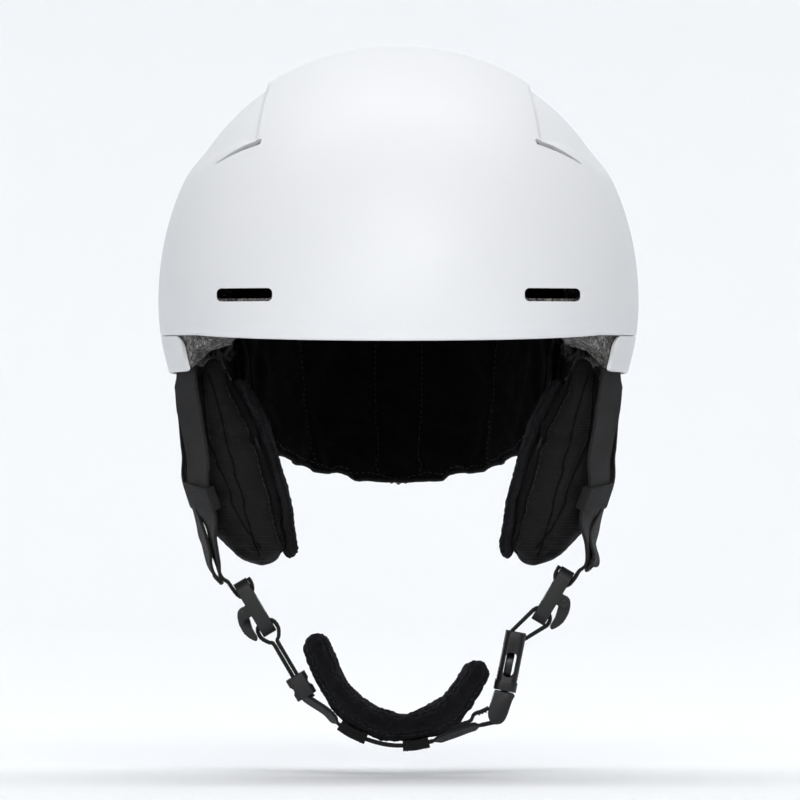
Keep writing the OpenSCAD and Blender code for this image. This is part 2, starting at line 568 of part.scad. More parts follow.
module divider_lever(divider, side) color(moulded_black) at_divider(divider, side)
  upright(0, 20.2) difference() {
    union() {
      translate(lever_pivot) circle(3, $fn = 32);
      polygon(curve(lever_outline, 3));
    }
    translate(lever_pivot) circle(pin_hole_r, $fn = 32);
  }
module divider_lever_left() divider_lever(divider_left, -1);
module divider_lever_right() divider_lever(divider_right, 1);

// ---- buckle ----
// the chin strap flexes just under the left divider; the buckle lies on the arc round that line
flex_z = -20; // in the divider's frame
flex_line = flip_x(div_pt(divider_left, 0, flex_z));
buckle = [48.9, -160.6]; // x, z of the housing's mouth
buckle_tilt = -atan2(buckle[1] - flex_line[1], buckle[0] - flex_line[0]);
// buckle frame: +Z up into the housing, X across its thickness, mouth at z = 0
module at_buckle()
  translate([buckle[0], har_y, buckle[1]]) rotate([0, buckle_tilt, 0]) children();
function buckle_pt(x, z) = tilted(buckle, buckle_tilt, x, z);
// webbing bars of the housing and the tongue, [x, z]
top_bar = [0, 25];
low_bar = [-1, -12];
bar_length = 23;
prong_root = [7.2, -1]; // distance from the middle along Y, and z
module buckle_housing() color(fitting_black) at_buckle() difference() {
  union() {
    difference() {
      translate([0, 0, 4]) linear_extrude(23.4) rounded(9.4, 29, 3, $fn = 32);
      translate([-10, -window_w / 2, 20.2]) cube([20, window_w, 9]);
    }
    linear_extrude(4.4) rounded(10.4, 30, 3.4, $fn = 32);
    y_bar(top_bar, 2, bar_length);
  }
  translate([-2.9, -11.6, -1]) cube([5.8, 23.2, 19.6]);
  for (s = [-1, 1]) translate([0, s * 14, 12.2]) rotate([90, 0, 0])
    linear_extrude(8, center = true) rounded(5.2, 11.6, 2.5, $fn = 32);
}
tongue_outline = [[-4.4, -0.8], [4.4, -0.8], [4.2, -4], [2.9, -12.6], [0.4, -15.6],
  [-3.2, -15.6], [-5.4, -12], [-4.8, -4], [-4.4, -0.8]];
module buckle_tongue() color(fitting_black) at_buckle() difference() {
  union() {
    difference() {
      upright(0, 25.6) polygon(curve(tongue_outline, 3));
      translate([-10, -10.7, -20]) cube([20, 21.4, 13]);
    }
    y_bar(low_bar, 1.9, bar_length);
    translate([-1.3, -3.4, -1.6]) cube([2.6, 6.8, 15.4]);
  }
  for (s = [-1, 1]) x_bar([0, s * prong_root[0], prong_root[1]], 2.3, 12);
}
// the two sprung prongs; each turns on its root in the tongue's shoulder
prong_outline = [[-1.4, 1], [-1.3, 6], [-1.9, 12], [-0.6, 17.6], [1.4, 18.4], [3.1, 15.5],
  [3.5, 12], [2.8, 8.6], [1.2, 7.6], [1.6, 3], [1.8, 1]];
module prong() {
  x_bar([0, 0, 0], 2.24, 3.4);
  rotate([90, 0, 90]) translate([0, 0, -2.1]) linear_extrude(3.4) polygon(curve(prong_outline, 3));
}
module buckle_prong_front() color(prong_black) at_buckle()
  translate([0, -prong_root[0], prong_root[1]]) mirror([0, 1, 0]) prong();
module buckle_prong_rear() color(prong_black) at_buckle()
  translate([0, prong_root[0], prong_root[1]]) prong();

// ---- chin strap ----
// a closed loop of webbing round two bars, by the radii of its middle line
module belt(bar_a, r_a, bar_b, r_b) difference() {
  hull() {
    translate(bar_a) circle(r_a + web_t / 2);
    translate(bar_b) circle(r_b + web_t / 2);
  }
  hull() {
    translate(bar_a) circle(r_a - web_t / 2);
    translate(bar_b) circle(r_b - web_t / 2);
  }
}
module lower_strap_right() color(webbing_black) upright(har_y, web_w)
  belt(div_pt(divider_right, 0, lower_bar_z), 4.7, buckle_pt(top_bar[0], top_bar[1]), 3.1);
// loop round the left divider's lower bar, [x, z] in its frame; its two legs end where
// the strap flexes
left_loop = [[1.15, -18.6], [2.6, -17.2], [4.6, -13.6], [4.3, -9.8], [2.2, -7.7], [0, -7.1],
  [-2.2, -7.7], [-4.3, -9.8], [-4.6, -13.6], [-2.6, -17.2], [-1.15, -18.6]];
module lower_strap_left() color(webbing_black) upright(har_y, web_w)
  band(curve([for (p = left_loop) flip_x(div_pt(divider_left, p[0], p[1]))], 3), web_t);
// points along the doubled strap under the flex line: x to the outside, down along the strap
function leg(x, down) = flip_x(div_pt(divider_left, x, flex_z - down));
leg_x = 1.05;
chin_path = concat([for (down = [1.6, 8, 18, 27]) leg(leg_x, down)],
  [[-33.2, -170.4], [-27, -176.6], [-15, -183], [-2, -186], [12, -184.9], [24, -181.2],
    [33, -177.9], [40, -176.2]],
  [for (t = [-88:22:88]) buckle_pt(low_bar[0] + 3.05 * cos(t), low_bar[1] + 3.05 * sin(t))],
  [buckle_pt(-4.4, -8.9)]);
module chin_strap() color(webbing_black) upright(har_y, web_w) {
  band(curve(chin_path, 3), web_t);
  band([for (down = [1.6, 8, 16, 29]) leg(-leg_x, down)], web_t);
}
pad_path = [[-39.2, -134.6], [-35, -145], [-30.4, -155], [-23, -164.6], [-12, -172.6],
  [1, -175.8], [14, -173.8], [24.3, -167.4], [32, -158], [38.2, -147.2]];
module chin_pad() color(padding_black) upright(har_y, chin_w) band(curve(pad_path, 4), 11);
// cloth sleeve round the webbing under the pad; its opening runs on past both ends
module sleeve(path) difference() {
  last = len(path) - 1;
  opening = concat([path[0] * 2 - path[1]], path, [path[last] * 2 - path[last - 1]]);
  upright(har_y, web_w + 4.6) band(curve(path, 4), 4.8);
  upright(har_y, web_w + 1.6) band(curve(opening, 4), 2.6);
}
module chin_sleeves() color(moulded_black) {
  sleeve([[-27, -176.6], [-21.5, -180.1], [-15, -183]]);
  sleeve([[2, -186.1], [8, -185.7], [14, -184.4]]);
}
// loose end lying back over the strap
tail_path = [buckle_pt(-5.5, -9.3), buckle_pt(-8.4, -11.6), buckle_pt(-11.6, -13.6),
  [33.2, -174.6], [28, -176.5], [22.5, -178.4]];
module chin_strap_tail() color(webbing_black) upright(har_y, web_w)
  band(curve(tail_path, 4), web_t);
// sleeve round the doubled strap, with a groove across each face
slider_at = leg(0, 22);
module strap_slider() color(fitting_black) translate([slider_at[0], har_y, slider_at[1]])
  rotate([0, -divider_tilt, 0]) difference() {
    linear_extrude(11, center = true) rounded(9.6, web_w + 8, 2.4, $fn = 32);
    translate([-2.6, -web_w / 2 - 1, -20]) cube([5.2, web_w + 2, 40]);
    for (s = [-1, 1]) y_bar([s * 6, 0], 2.2, 60, $fn = 32);
  }

// ---- rear goggle strap clip ----
clip_back = skin(90, 20, 0)[1]; // y of the shell's back beside the hinge
hinge = [0, clip_back + 4.2, 21];
knuckle_r = 2.7;
rivet_heights = [-7, 8];
// stands its children on the shell's back, +Z pointing outwards
module on_back(z) translate(skin(90, z, 0))
  rotate([-90 - atan((skin(90, z + 0.5, 0) - skin(90, z - 0.5, 0))[1]), 0, 0]) children();
// plate following the back, spread degrees to each side; insets are negative outside the skin
module back_plate(spread, steps, heights, insets) {
  grid = function (inset) [for (i = [0:steps])
    [for (z = heights) skin(90 - spread + i * 2 * spread / steps, z, inset)]];
  slab(grid(insets[0]), grid(insets[1]));
}
module goggle_clip_base() color(fitting_black) difference() {
  union() {
    back_plate(6, 8, [-12, -4, 4, 12, 17], [-0.4, -2.4]);
    for (s = [-1, 1]) x_bar(hinge + [s * 11.5, 0, 0], knuckle_r, 4);
    for (s = [-1, 1]) translate([s * 11.5 - 2, clip_back + 0.6, 13]) cube([4, 2.6, 7]);
  }
  x_bar(hinge, pin_hole_r, 40);
  for (z = rivet_heights) on_back(z) translate([0, 0, -3]) cylinder(h = 12, r = 2.06);
}
module goggle_clip_flap() color(moulded_black) difference() {
  union() {
    back_plate(3.6, 6, [-11, -4, 4, 11, 15.5], [-5.6, -7.8]);
    x_bar(hinge, knuckle_r, 18);
    hull() {
      x_bar(hinge + [0, 1.2, 0], 1.4, 17, $fn = 16);
      translate([-8.5, clip_back + 5.9, 14.4]) cube([17, 1.6, 1]);
    }
  }
  x_bar(hinge, pin_hole_r, 40);
}
module goggle_clip_pin() color("silver") x_bar(hinge, pin_r, 27);
module goggle_clip_rivets() color("silver") for (z = rivet_heights) on_back(z) {
  translate([0, 0, 0.4]) cylinder(h = 2.8, r = rivet_r);
  translate([0, 0, 2.7]) cylinder(h = 0.8, r = 3);
}

outer_shell();
lower_shell();
foam_core();
crown_liner();
brow_pad();
temple_pad_left();
temple_pad_right();
nape_pad();
liner_hook_patches();
rear_vent_screens();
fit_cradle();
fit_cover();
fit_dial();
dial_pinion();
dial_screw();
headband_left();
headband_right();
headband_pins();
strap_anchor_plugs();
front_strap_left();
front_strap_right();
rear_strap_left();
rear_strap_right();
ear_pad_hangers();
ear_pad_studs();
ear_pad_cover_left();
ear_pad_cover_right();
ear_pad_plush_left();
ear_pad_plush_right();
ear_pad_frame_left();
ear_pad_frame_right();
strap_keeper_left();
strap_keeper_right();
divider_body_left();
divider_body_right();
divider_lever_left();
divider_lever_right();
divider_pins();
lower_strap_left();
lower_strap_right();
buckle_housing();
buckle_tongue();
buckle_prong_front();
buckle_prong_rear();
chin_strap();
chin_pad();
chin_sleeves();
chin_strap_tail();
strap_slider();
goggle_clip_base();
goggle_clip_flap();
goggle_clip_pin();
goggle_clip_rivets();
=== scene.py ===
"""A snow helmet with soft ear pads, chin strap, buckle and rear fit dial.

It stands upright: +Z is up, the face opening looks along -Y and the rear is +Y. "left" is the
-X side and "right" the +X side, as seen from the front. Shapes are worked out in millimetres
and stored in metres. Azimuths are in degrees: 0 at +X, -90 at the front, 90 at the rear.
"""
import math

import bmesh
import bpy
import numpy as np
from mathutils import Matrix, Vector
from mathutils.bvhtree import BVHTree
from mathutils.kdtree import KDTree


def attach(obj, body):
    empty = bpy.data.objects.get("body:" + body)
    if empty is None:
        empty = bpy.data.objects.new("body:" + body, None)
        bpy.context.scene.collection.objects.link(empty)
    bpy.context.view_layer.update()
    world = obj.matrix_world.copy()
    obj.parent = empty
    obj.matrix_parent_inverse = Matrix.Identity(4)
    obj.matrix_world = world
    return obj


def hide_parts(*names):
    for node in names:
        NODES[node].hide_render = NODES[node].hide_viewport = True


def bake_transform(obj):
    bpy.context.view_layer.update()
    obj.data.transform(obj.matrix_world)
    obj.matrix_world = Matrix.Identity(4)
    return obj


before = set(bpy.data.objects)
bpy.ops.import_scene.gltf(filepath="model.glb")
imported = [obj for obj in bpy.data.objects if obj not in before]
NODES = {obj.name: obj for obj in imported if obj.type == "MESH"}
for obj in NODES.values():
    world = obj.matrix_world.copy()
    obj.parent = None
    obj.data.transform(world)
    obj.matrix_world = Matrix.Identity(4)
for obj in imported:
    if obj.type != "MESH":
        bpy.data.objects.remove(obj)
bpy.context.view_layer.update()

MM = 0.001
TURN = 6.2832            # one turn in radians, as the threads and ribs use it
TURN_SHORT = 6.283       # one turn, as the random field and the puckers use it
RADIANS_PER_DEGREE = 0.01745
SIDES = ((-1, "left"), (1, "right"))


# ------------------------------------------------------------------ numbers
def ease(t):
    """smooth step from 0 to 1"""
    t = np.clip(t, 0.0, 1.0)
    return t * t * (3 - 2 * t)


def bell(value, centre, width):
    return np.exp(-((value - centre) / width) ** 2)


def lerp(a, b, t):
    return a + (b - a) * t


def along(table, value):
    """second column of a table, read at values of the first"""
    return np.interp(value, [row[0] for row in table], [row[1] for row in table])


def unit(v):
    v = np.asarray(v, float)
    return v / np.maximum(np.linalg.norm(v, axis=-1, keepdims=True), 1e-12)


def lengths(path):
    """distance along a path at each of its points"""
    steps = np.linalg.norm(np.diff(path, axis=0), axis=1)
    return np.concatenate([[0], np.cumsum(steps)])


def sample(where, distances, path):
    columns = range(path.shape[1])
    return np.stack([np.interp(where, distances, path[:, k]) for k in columns], 1)


def resample(path, step):
    path = np.asarray(path, float)
    distances = lengths(path)
    count = max(2, int(round(distances[-1] / step)) + 1)
    return sample(np.linspace(0, distances[-1], count), distances, path)


def curve(path, steps):
    """Catmull-Rom curve through the points, a number of steps to each span"""
    path = np.asarray(path, float)
    last = len(path) - 1
    out = []
    for i in range(last):
        a, b, c, d = path[max(i - 1, 0)], path[i], path[i + 1], path[min(i + 2, last)]
        for k in range(steps):
            t = k / steps
            out.append(0.5 * (2 * b + (c - a) * t + (2 * a - 5 * b + 4 * c - d) * t * t
                              + (3 * b - a - 3 * c + d) * t ** 3))
    out.append(path[-1])
    return np.array(out)


def tangents(path, closed=False):
    if closed:
        return unit(np.roll(path, -1, 0) - np.roll(path, 1, 0))
    return unit(np.concatenate([[path[1] - path[0]], path[2:] - path[:-2],
                                [path[-1] - path[-2]]]))


def mirror_x(points, side):
    points = np.array(points, float)
    if side < 0:
        points[..., 0] *= -1
    return points


RNG = np.random.default_rng(7)
DIRECTIONS = unit(RNG.normal(size=(24, 3)))
PHASES = RNG.uniform(0, TURN_SHORT, 24)


def field(points, size, seed=0):
    """smooth random value of about -1..1 that varies over `size` millimetres"""
    points = np.asarray(points, float)
    out = np.zeros(points.shape[:-1])
    for k in range(9):
        j = (k * 5 + seed * 3) % 24
        rate = TURN_SHORT / (size * (0.7 + 0.12 * k))
        warp = 1.7 * np.sin((points @ DIRECTIONS[(j + 7) % 24]) * rate * 0.6 + PHASES[k])
        out += np.sin((points @ DIRECTIONS[j]) * rate + PHASES[(j + seed) % 24] + warp)
    return out / 5.0


# ------------------------------------------------------------------ helmet surfaces
# half width, reach to the front, reach to the rear, height above the widest level
SHELL_SIZE = (111.0, 135.0, 140.0, 118.6)
CAVITY_SIZE = (88.5, 109.0, 114.0, 90.6)
WIDEST_Z = 18.0
SHELL_TOP = WIDEST_Z + SHELL_SIZE[3]
SHELL_WALL = 2.0
PLAN_POWER = 2.15        # squareness seen from above
DOME_POWER = 2.08        # squareness seen from the side
SHELL_TUCK = 4.5e-5      # how fast the surfaces draw in below the widest level
CAVITY_TUCK = 2.5e-5


def plan_radius(azimuth, width, front, rear):
    angle = np.radians(azimuth)
    across = np.abs(np.cos(angle)) / width
    lengthwise = np.abs(np.sin(angle)) / np.where(np.sin(angle) < 0, front, rear)
    return (across ** PLAN_POWER + lengthwise ** PLAN_POWER) ** (-1 / PLAN_POWER)


def at_height(size, tuck, azimuth, z, inset):
    """points of a helmet surface at given heights, moved inwards by the inset"""
    azimuth, z, inset = np.broadcast_arrays(*(np.asarray(v, float) for v in (azimuth, z, inset)))
    width, front, rear, height = (v - inset for v in size)
    t = np.clip((z - WIDEST_Z) / height, 0, 1)
    dome = (1 - t ** DOME_POWER) ** (1 / DOME_POWER)
    scale = np.where(z > WIDEST_Z, dome, 1 - tuck * (WIDEST_Z - z) ** 2)
    radius = plan_radius(azimuth, width, front, rear)
    angle = np.radians(azimuth)
    return np.stack([radius * scale * np.cos(angle), radius * scale * np.sin(angle), z], -1)


def skin(azimuth, z, inset):
    return at_height(SHELL_SIZE, SHELL_TUCK, azimuth, z, inset)


def wall(azimuth, z, inset):
    return at_height(CAVITY_SIZE, CAVITY_TUCK, azimuth, z, inset)


def on_dome(size, azimuth, polar, inset=0.0):
    """points of the dome at degrees down from the crown"""
    azimuth, polar = np.broadcast_arrays(np.asarray(azimuth, float), np.asarray(polar, float))
    width, front, rear, height = (v - inset for v in size)
    radius = (plan_radius(azimuth, width, front, rear)
              * np.sin(np.radians(polar)) ** (2 / DOME_POWER))
    angle = np.radians(azimuth)
    z = WIDEST_Z + height * np.cos(np.radians(polar)) ** (2 / DOME_POWER)
    return np.stack([radius * np.cos(angle), radius * np.sin(angle), z], -1)


def panel_depth(points, soft):
    """depth of the sunk panel on each upper side of the shell"""
    x, y, z = np.abs(points[..., 0]), points[..., 1], points[..., 2]
    inner_x = 60 + 0.1 * np.maximum(0, -33 - y)
    return (2.2 * ease((x - inner_x) / (3 * soft))
            * ease(((65 - x) * 0.8 + (y + 79) * 0.6) / (3 * soft))
            * ease((z - 74) / 18) * (1 - ease((y - 66) / 26)))


def outward(points):
    width, _, rear, height = SHELL_SIZE
    return unit(np.stack([points[..., 0] / width ** 2, points[..., 1] / rear ** 2,
                          np.maximum(0, points[..., 2] - WIDEST_Z) / height ** 2], -1))


def level_outward(points):
    normal = outward(points)
    normal[:, 2] = 0
    return unit(normal)


def from_front(azimuth):
    """degrees away from the front, 0..180"""
    return np.abs(((np.asarray(azimuth, float) + 90 + 540) % 360) - 180)


def azimuth_of(off_front, side=1):
    """azimuth of an angle counted from the front towards one side"""
    return off_front - 90 if side > 0 else 270 - off_front


def seam_z(off_front):
    """height of the seam between outer and lower shell"""
    return np.where(off_front < 50, 2.8 * (off_front / 50) ** 2,
                    2.8 - 17 * ease((off_front - 95) / 60))


def rim_z(off_front):
    """height of the helmet's lower rim"""
    e = off_front
    rear = np.where(e < 150, lerp(-15, -47, ease((e - 105) / 45)), -47 + 11 * ease((e - 156) / 14))
    sides = np.where(e < 105, -13.7 - 1.3 * (e - 58.6) / 46.4, rear)
    corner = np.where(e < 58.6, lerp(2.8, -13.7, ease((e - 53.6) / 5)), sides)
    return np.where(e < 53.6, seam_z(e), corner)


# ------------------------------------------------------------------ mesh builders
def solid(name, points, faces, fab=None):
    """an object with outward faces; fab holds (across, along) coordinates in millimetres"""
    me = bpy.data.meshes.new(name)
    me.from_pydata((np.asarray(points, float) * MM).tolist(), [],
                   [tuple(int(i) for i in face) for face in faces])
    me.validate()
    bm = bmesh.new()
    bm.from_mesh(me)
    bmesh.ops.recalc_face_normals(bm, faces=bm.faces)
    if bm.calc_volume(signed=True) < 0:
        bmesh.ops.reverse_faces(bm, faces=bm.faces)
    bm.to_mesh(me)
    bm.free()
    if fab is not None:
        attribute = me.attributes.new("fab", "FLOAT_VECTOR", "POINT")
        values = np.zeros((len(me.vertices), 3), np.float32)
        values[:, :2] = np.asarray(fab, np.float32)
        attribute.data.foreach_set("vector", values.ravel())
    return link(name, me)


def link(name, data):
    ob = bpy.data.objects.new(name, data)
    bpy.context.scene.collection.objects.link(ob)
    return ob


def finish_mesh(ob, mat=None, sharp=None):
    """smooth shading, with edges over `sharp` degrees kept sharp, and a single material"""
    me = ob.data
    me.polygons.foreach_set("use_smooth", [True] * len(me.polygons))
    if sharp is not None:
        me.set_sharp_from_angle(angle=math.radians(sharp))
    if mat is not None:
        me.materials.clear()
        me.materials.append(mat)
    me.update()


def mesh(name, points, faces, mat, fab=None, sharp=40.0):
    ob = solid(name, points, faces, fab)
    finish_mesh(ob, mat, sharp)
    return ob


def lathe(rows, first_pole, last_pole):
    """rows of rings round a vertical axis, closed at each end by a pole"""
    count, ring, _ = rows.shape
    points = np.concatenate([rows.reshape(-1, 3), [first_pole], [last_pole]])
    faces = []
    for i in range(count - 1):
        for j in range(ring):
            a, b = i * ring + j, i * ring + (j + 1) % ring
            faces.append((a, b, b + ring, a + ring))
    pole = count * ring
    base = (count - 1) * ring
    for j in range(ring):
        faces.append((pole, (j + 1) % ring, j))
        faces.append((pole + 1, base + j, base + (j + 1) % ring))
    return points, faces


def sweep(loops, closed=False):
    """equal closed sections joined one to the next, capped unless they close on themselves"""
    loops = np.asarray(loops, float)
    count, ring, _ = loops.shape
    faces = []
    for i in range(count if closed else count - 1):
        k = (i + 1) % count
        for j in range(ring):
            j2 = (j + 1) % ring
            faces.append((i * ring + j, i * ring + j2, k * ring + j2, k * ring + j))
    if not closed:
        faces.append(tuple(range(ring - 1, -1, -1)))
        faces.append(tuple((count - 1) * ring + j for j in range(ring)))
    return loops.reshape(-1, 3), faces


def tube(path, radius, mat, sides, closed=False, wobble=0.0):
    """round cord along a path"""
    path = np.asarray(path, float)
    direction = tangents(path, closed)
    up = np.broadcast_to([0.3, 0.2, 1.0], path.shape)
    normal = unit(up - direction * np.sum(up * direction, 1, keepdims=True))
    binormal = np.cross(direction, normal)
    angle = np.linspace(0, 2 * math.pi, sides, endpoint=False)
    ring = (normal[:, None, :] * np.cos(angle)[None, :, None]
            + binormal[:, None, :] * np.sin(angle)[None, :, None])
    size = (len(path), sides)
    fab = np.stack([np.broadcast_to(angle * radius, size),
                    np.broadcast_to(lengths(path)[:, None], size)], -1).reshape(-1, 2)
    points, faces = sweep(path[:, None, :] + ring * radius, closed)
    if wobble:
        out = unit(points - np.repeat(path, sides, 0))
        points = points + out * (wobble * field(points, 1.6))[:, None]
    return mesh("tube", points, faces, mat, fab=fab, sharp=60)


def join(name, obs):
    """one new object from several"""
    obs = [o for o in obs if o is not None]
    mats = []
    bm = bmesh.new()
    for o in obs:
        slots = {}
        for k, mat in enumerate(o.data.materials):
            if mat not in mats:
                mats.append(mat)
            slots[k] = mats.index(mat)
        part = bmesh.new()
        part.from_mesh(o.data)
        part.transform(o.matrix_world)
        for f in part.faces:
            f.material_index = slots.get(f.material_index, 0)
        copy = bpy.data.meshes.new("tmp")
        part.to_mesh(copy)
        part.free()
        bm.from_mesh(copy)
        bpy.data.meshes.remove(copy)
    me = bpy.data.meshes.new(name)
    bm.to_mesh(me)
    bm.free()
    for mat in mats:
        me.materials.append(mat)
    ob = link(name, me)
    for o in obs:
        old = o.data
        bpy.data.objects.remove(o)
        if old.users == 0:
            bpy.data.meshes.remove(old)
    return ob


def apply_modifiers(ob):
    bpy.context.view_layer.update()
    depsgraph = bpy.context.evaluated_depsgraph_get()
    me = bpy.data.meshes.new_from_object(ob.evaluated_get(depsgraph),
                                         preserve_all_data_layers=True, depsgraph=depsgraph)
    ob.modifiers.clear()
    old = ob.data
    ob.data = me
    if old.users == 0:
        bpy.data.meshes.remove(old)


def cut(ob, cutter):
    """take the cutter out of the object and delete the cutter"""
    mod = ob.modifiers.new("cut", "BOOLEAN")
    mod.operation = "DIFFERENCE"
    mod.solver = "EXACT"
    mod.object = cutter
    apply_modifiers(ob)
    me = cutter.data
    bpy.data.objects.remove(cutter)
    bpy.data.meshes.remove(me)


def subdivide(ob, levels=1):
    mod = ob.modifiers.new("subdivide", "SUBSURF")
    mod.levels = mod.render_levels = levels
    apply_modifiers(ob)


def read_vertices(me, key):
    values = np.zeros(len(me.vertices) * 3)
    me.vertices.foreach_get(key, values)
    return values.reshape(-1, 3)


def surface(ob):
    """vertex places in millimetres, and their normals"""
    return read_vertices(ob.data, "co") / MM, read_vertices(ob.data, "normal")


def set_coords(me, metres):
    me.vertices.foreach_set("co", np.asarray(metres, np.float32).ravel())
    me.update()


def pad_mesh(name, points, faces, mat):
    """a pad body with its end caps split into triangles"""
    ob = mesh(name, points, faces, mat)
    bm = bmesh.new()
    bm.from_mesh(ob.data)
    bmesh.ops.triangulate(bm, faces=[f for f in bm.faces if len(f.verts) > 4])
    bm.to_mesh(ob.data)
    bm.free()
    return ob


def puff(ob, voxel, cap, hold, levels=1):
    """sewn padding: remeshed, blown up as cloth with its seams held, and subdivided

    voxel is the remesh size and cap the furthest a point may move, both in millimetres;
    hold gives the pin weight of points."""
    last_frame = 20
    mod = ob.modifiers.new("remesh", "REMESH")
    mod.mode = "VOXEL"
    mod.voxel_size = voxel * MM
    apply_modifiers(ob)
    rest = read_vertices(ob.data, "co")
    weights = hold(rest / MM)
    group = ob.vertex_groups.new(name="hold")
    for i in np.nonzero(weights > 0.02)[0]:
        group.add([int(i)], float(min(1.0, weights[i])), "REPLACE")
    mod = ob.modifiers.new("cloth", "CLOTH")
    cloth = mod.settings
    cloth.quality = 5
    cloth.mass = 0.25
    cloth.tension_stiffness = 12
    cloth.compression_stiffness = 12
    cloth.shear_stiffness = 4
    cloth.bending_stiffness = 0.6
    cloth.tension_damping = cloth.compression_damping = cloth.shear_damping = 5
    cloth.air_damping = 4
    cloth.use_pressure = True
    cloth.uniform_pressure_force = 4.0
    cloth.effector_weights.gravity = 0.0
    cloth.shrink_min = -0.06
    cloth.vertex_group_mass = "hold"
    cloth.pin_stiffness = 1.0
    mod.collision_settings.use_collision = False
    mod.collision_settings.use_self_collision = False
    mod.point_cache.frame_start = 1
    mod.point_cache.frame_end = last_frame
    scene = bpy.context.scene
    for f in range(1, last_frame + 1):
        scene.frame_set(f)
    depsgraph = bpy.context.evaluated_depsgraph_get()
    blown = read_vertices(ob.evaluated_get(depsgraph).data, "co")
    ob.modifiers.clear()
    ob.vertex_groups.clear()
    scene.frame_set(1)
    # a simulation that blew up leaves the pad at rest
    if not np.isfinite(blown).all() or len(blown) != len(rest):
        blown = rest
    move = blown - rest
    distance = np.linalg.norm(move, axis=1, keepdims=True)
    set_coords(ob.data, rest + move * np.minimum(1.0, cap * MM / np.maximum(distance, 1e-9)))
    subdivide(ob, levels)


def place(ob, body, node):
    """the piece rides on a moving body and stands in for a node"""
    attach(ob, body)
    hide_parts(node)


def surface_tree(ob):
    me = ob.data
    return BVHTree.FromPolygons([v.co.copy() for v in me.vertices],
                                [tuple(p.vertices) for p in me.polygons])


def point_tree(points):
    tree = KDTree(len(points))
    for i, p in enumerate(points):
        tree.insert(Vector(p), i)
    tree.balance()
    return tree


def distances_to(tree, points):
    return np.array([tree.find(Vector(p))[2] for p in points])


def nearest(points, tree):
    """nearest places on a surface and the normals there"""
    hits, normals = [], []
    for p in np.asarray(points, float):
        hit, normal, _, _ = tree.find_nearest(Vector(p * MM))
        hits.append(np.array(hit) / MM)
        normals.append(np.array(normal))
    return np.array(hits), np.array(normals)


def snap(points, tree, lift):
    hits, normals = nearest(points, tree)
    return hits + normals * lift


def rounded_rect(width, height, radius, steps=6):
    right, top = width / 2 - radius, height / 2 - radius
    out = []
    for cx, cz, start in ((right, top, 0), (-right, top, 90), (-right, -top, 180),
                          (right, -top, 270)):
        for k in range(steps + 1):
            a = math.radians(start + 90 * k / steps)
            out.append((cx + radius * math.cos(a), cz + radius * math.sin(a)))
    return np.array(out)


# ------------------------------------------------------------------ materials
def shade(color, factor):
    return tuple(c * factor for c in color)


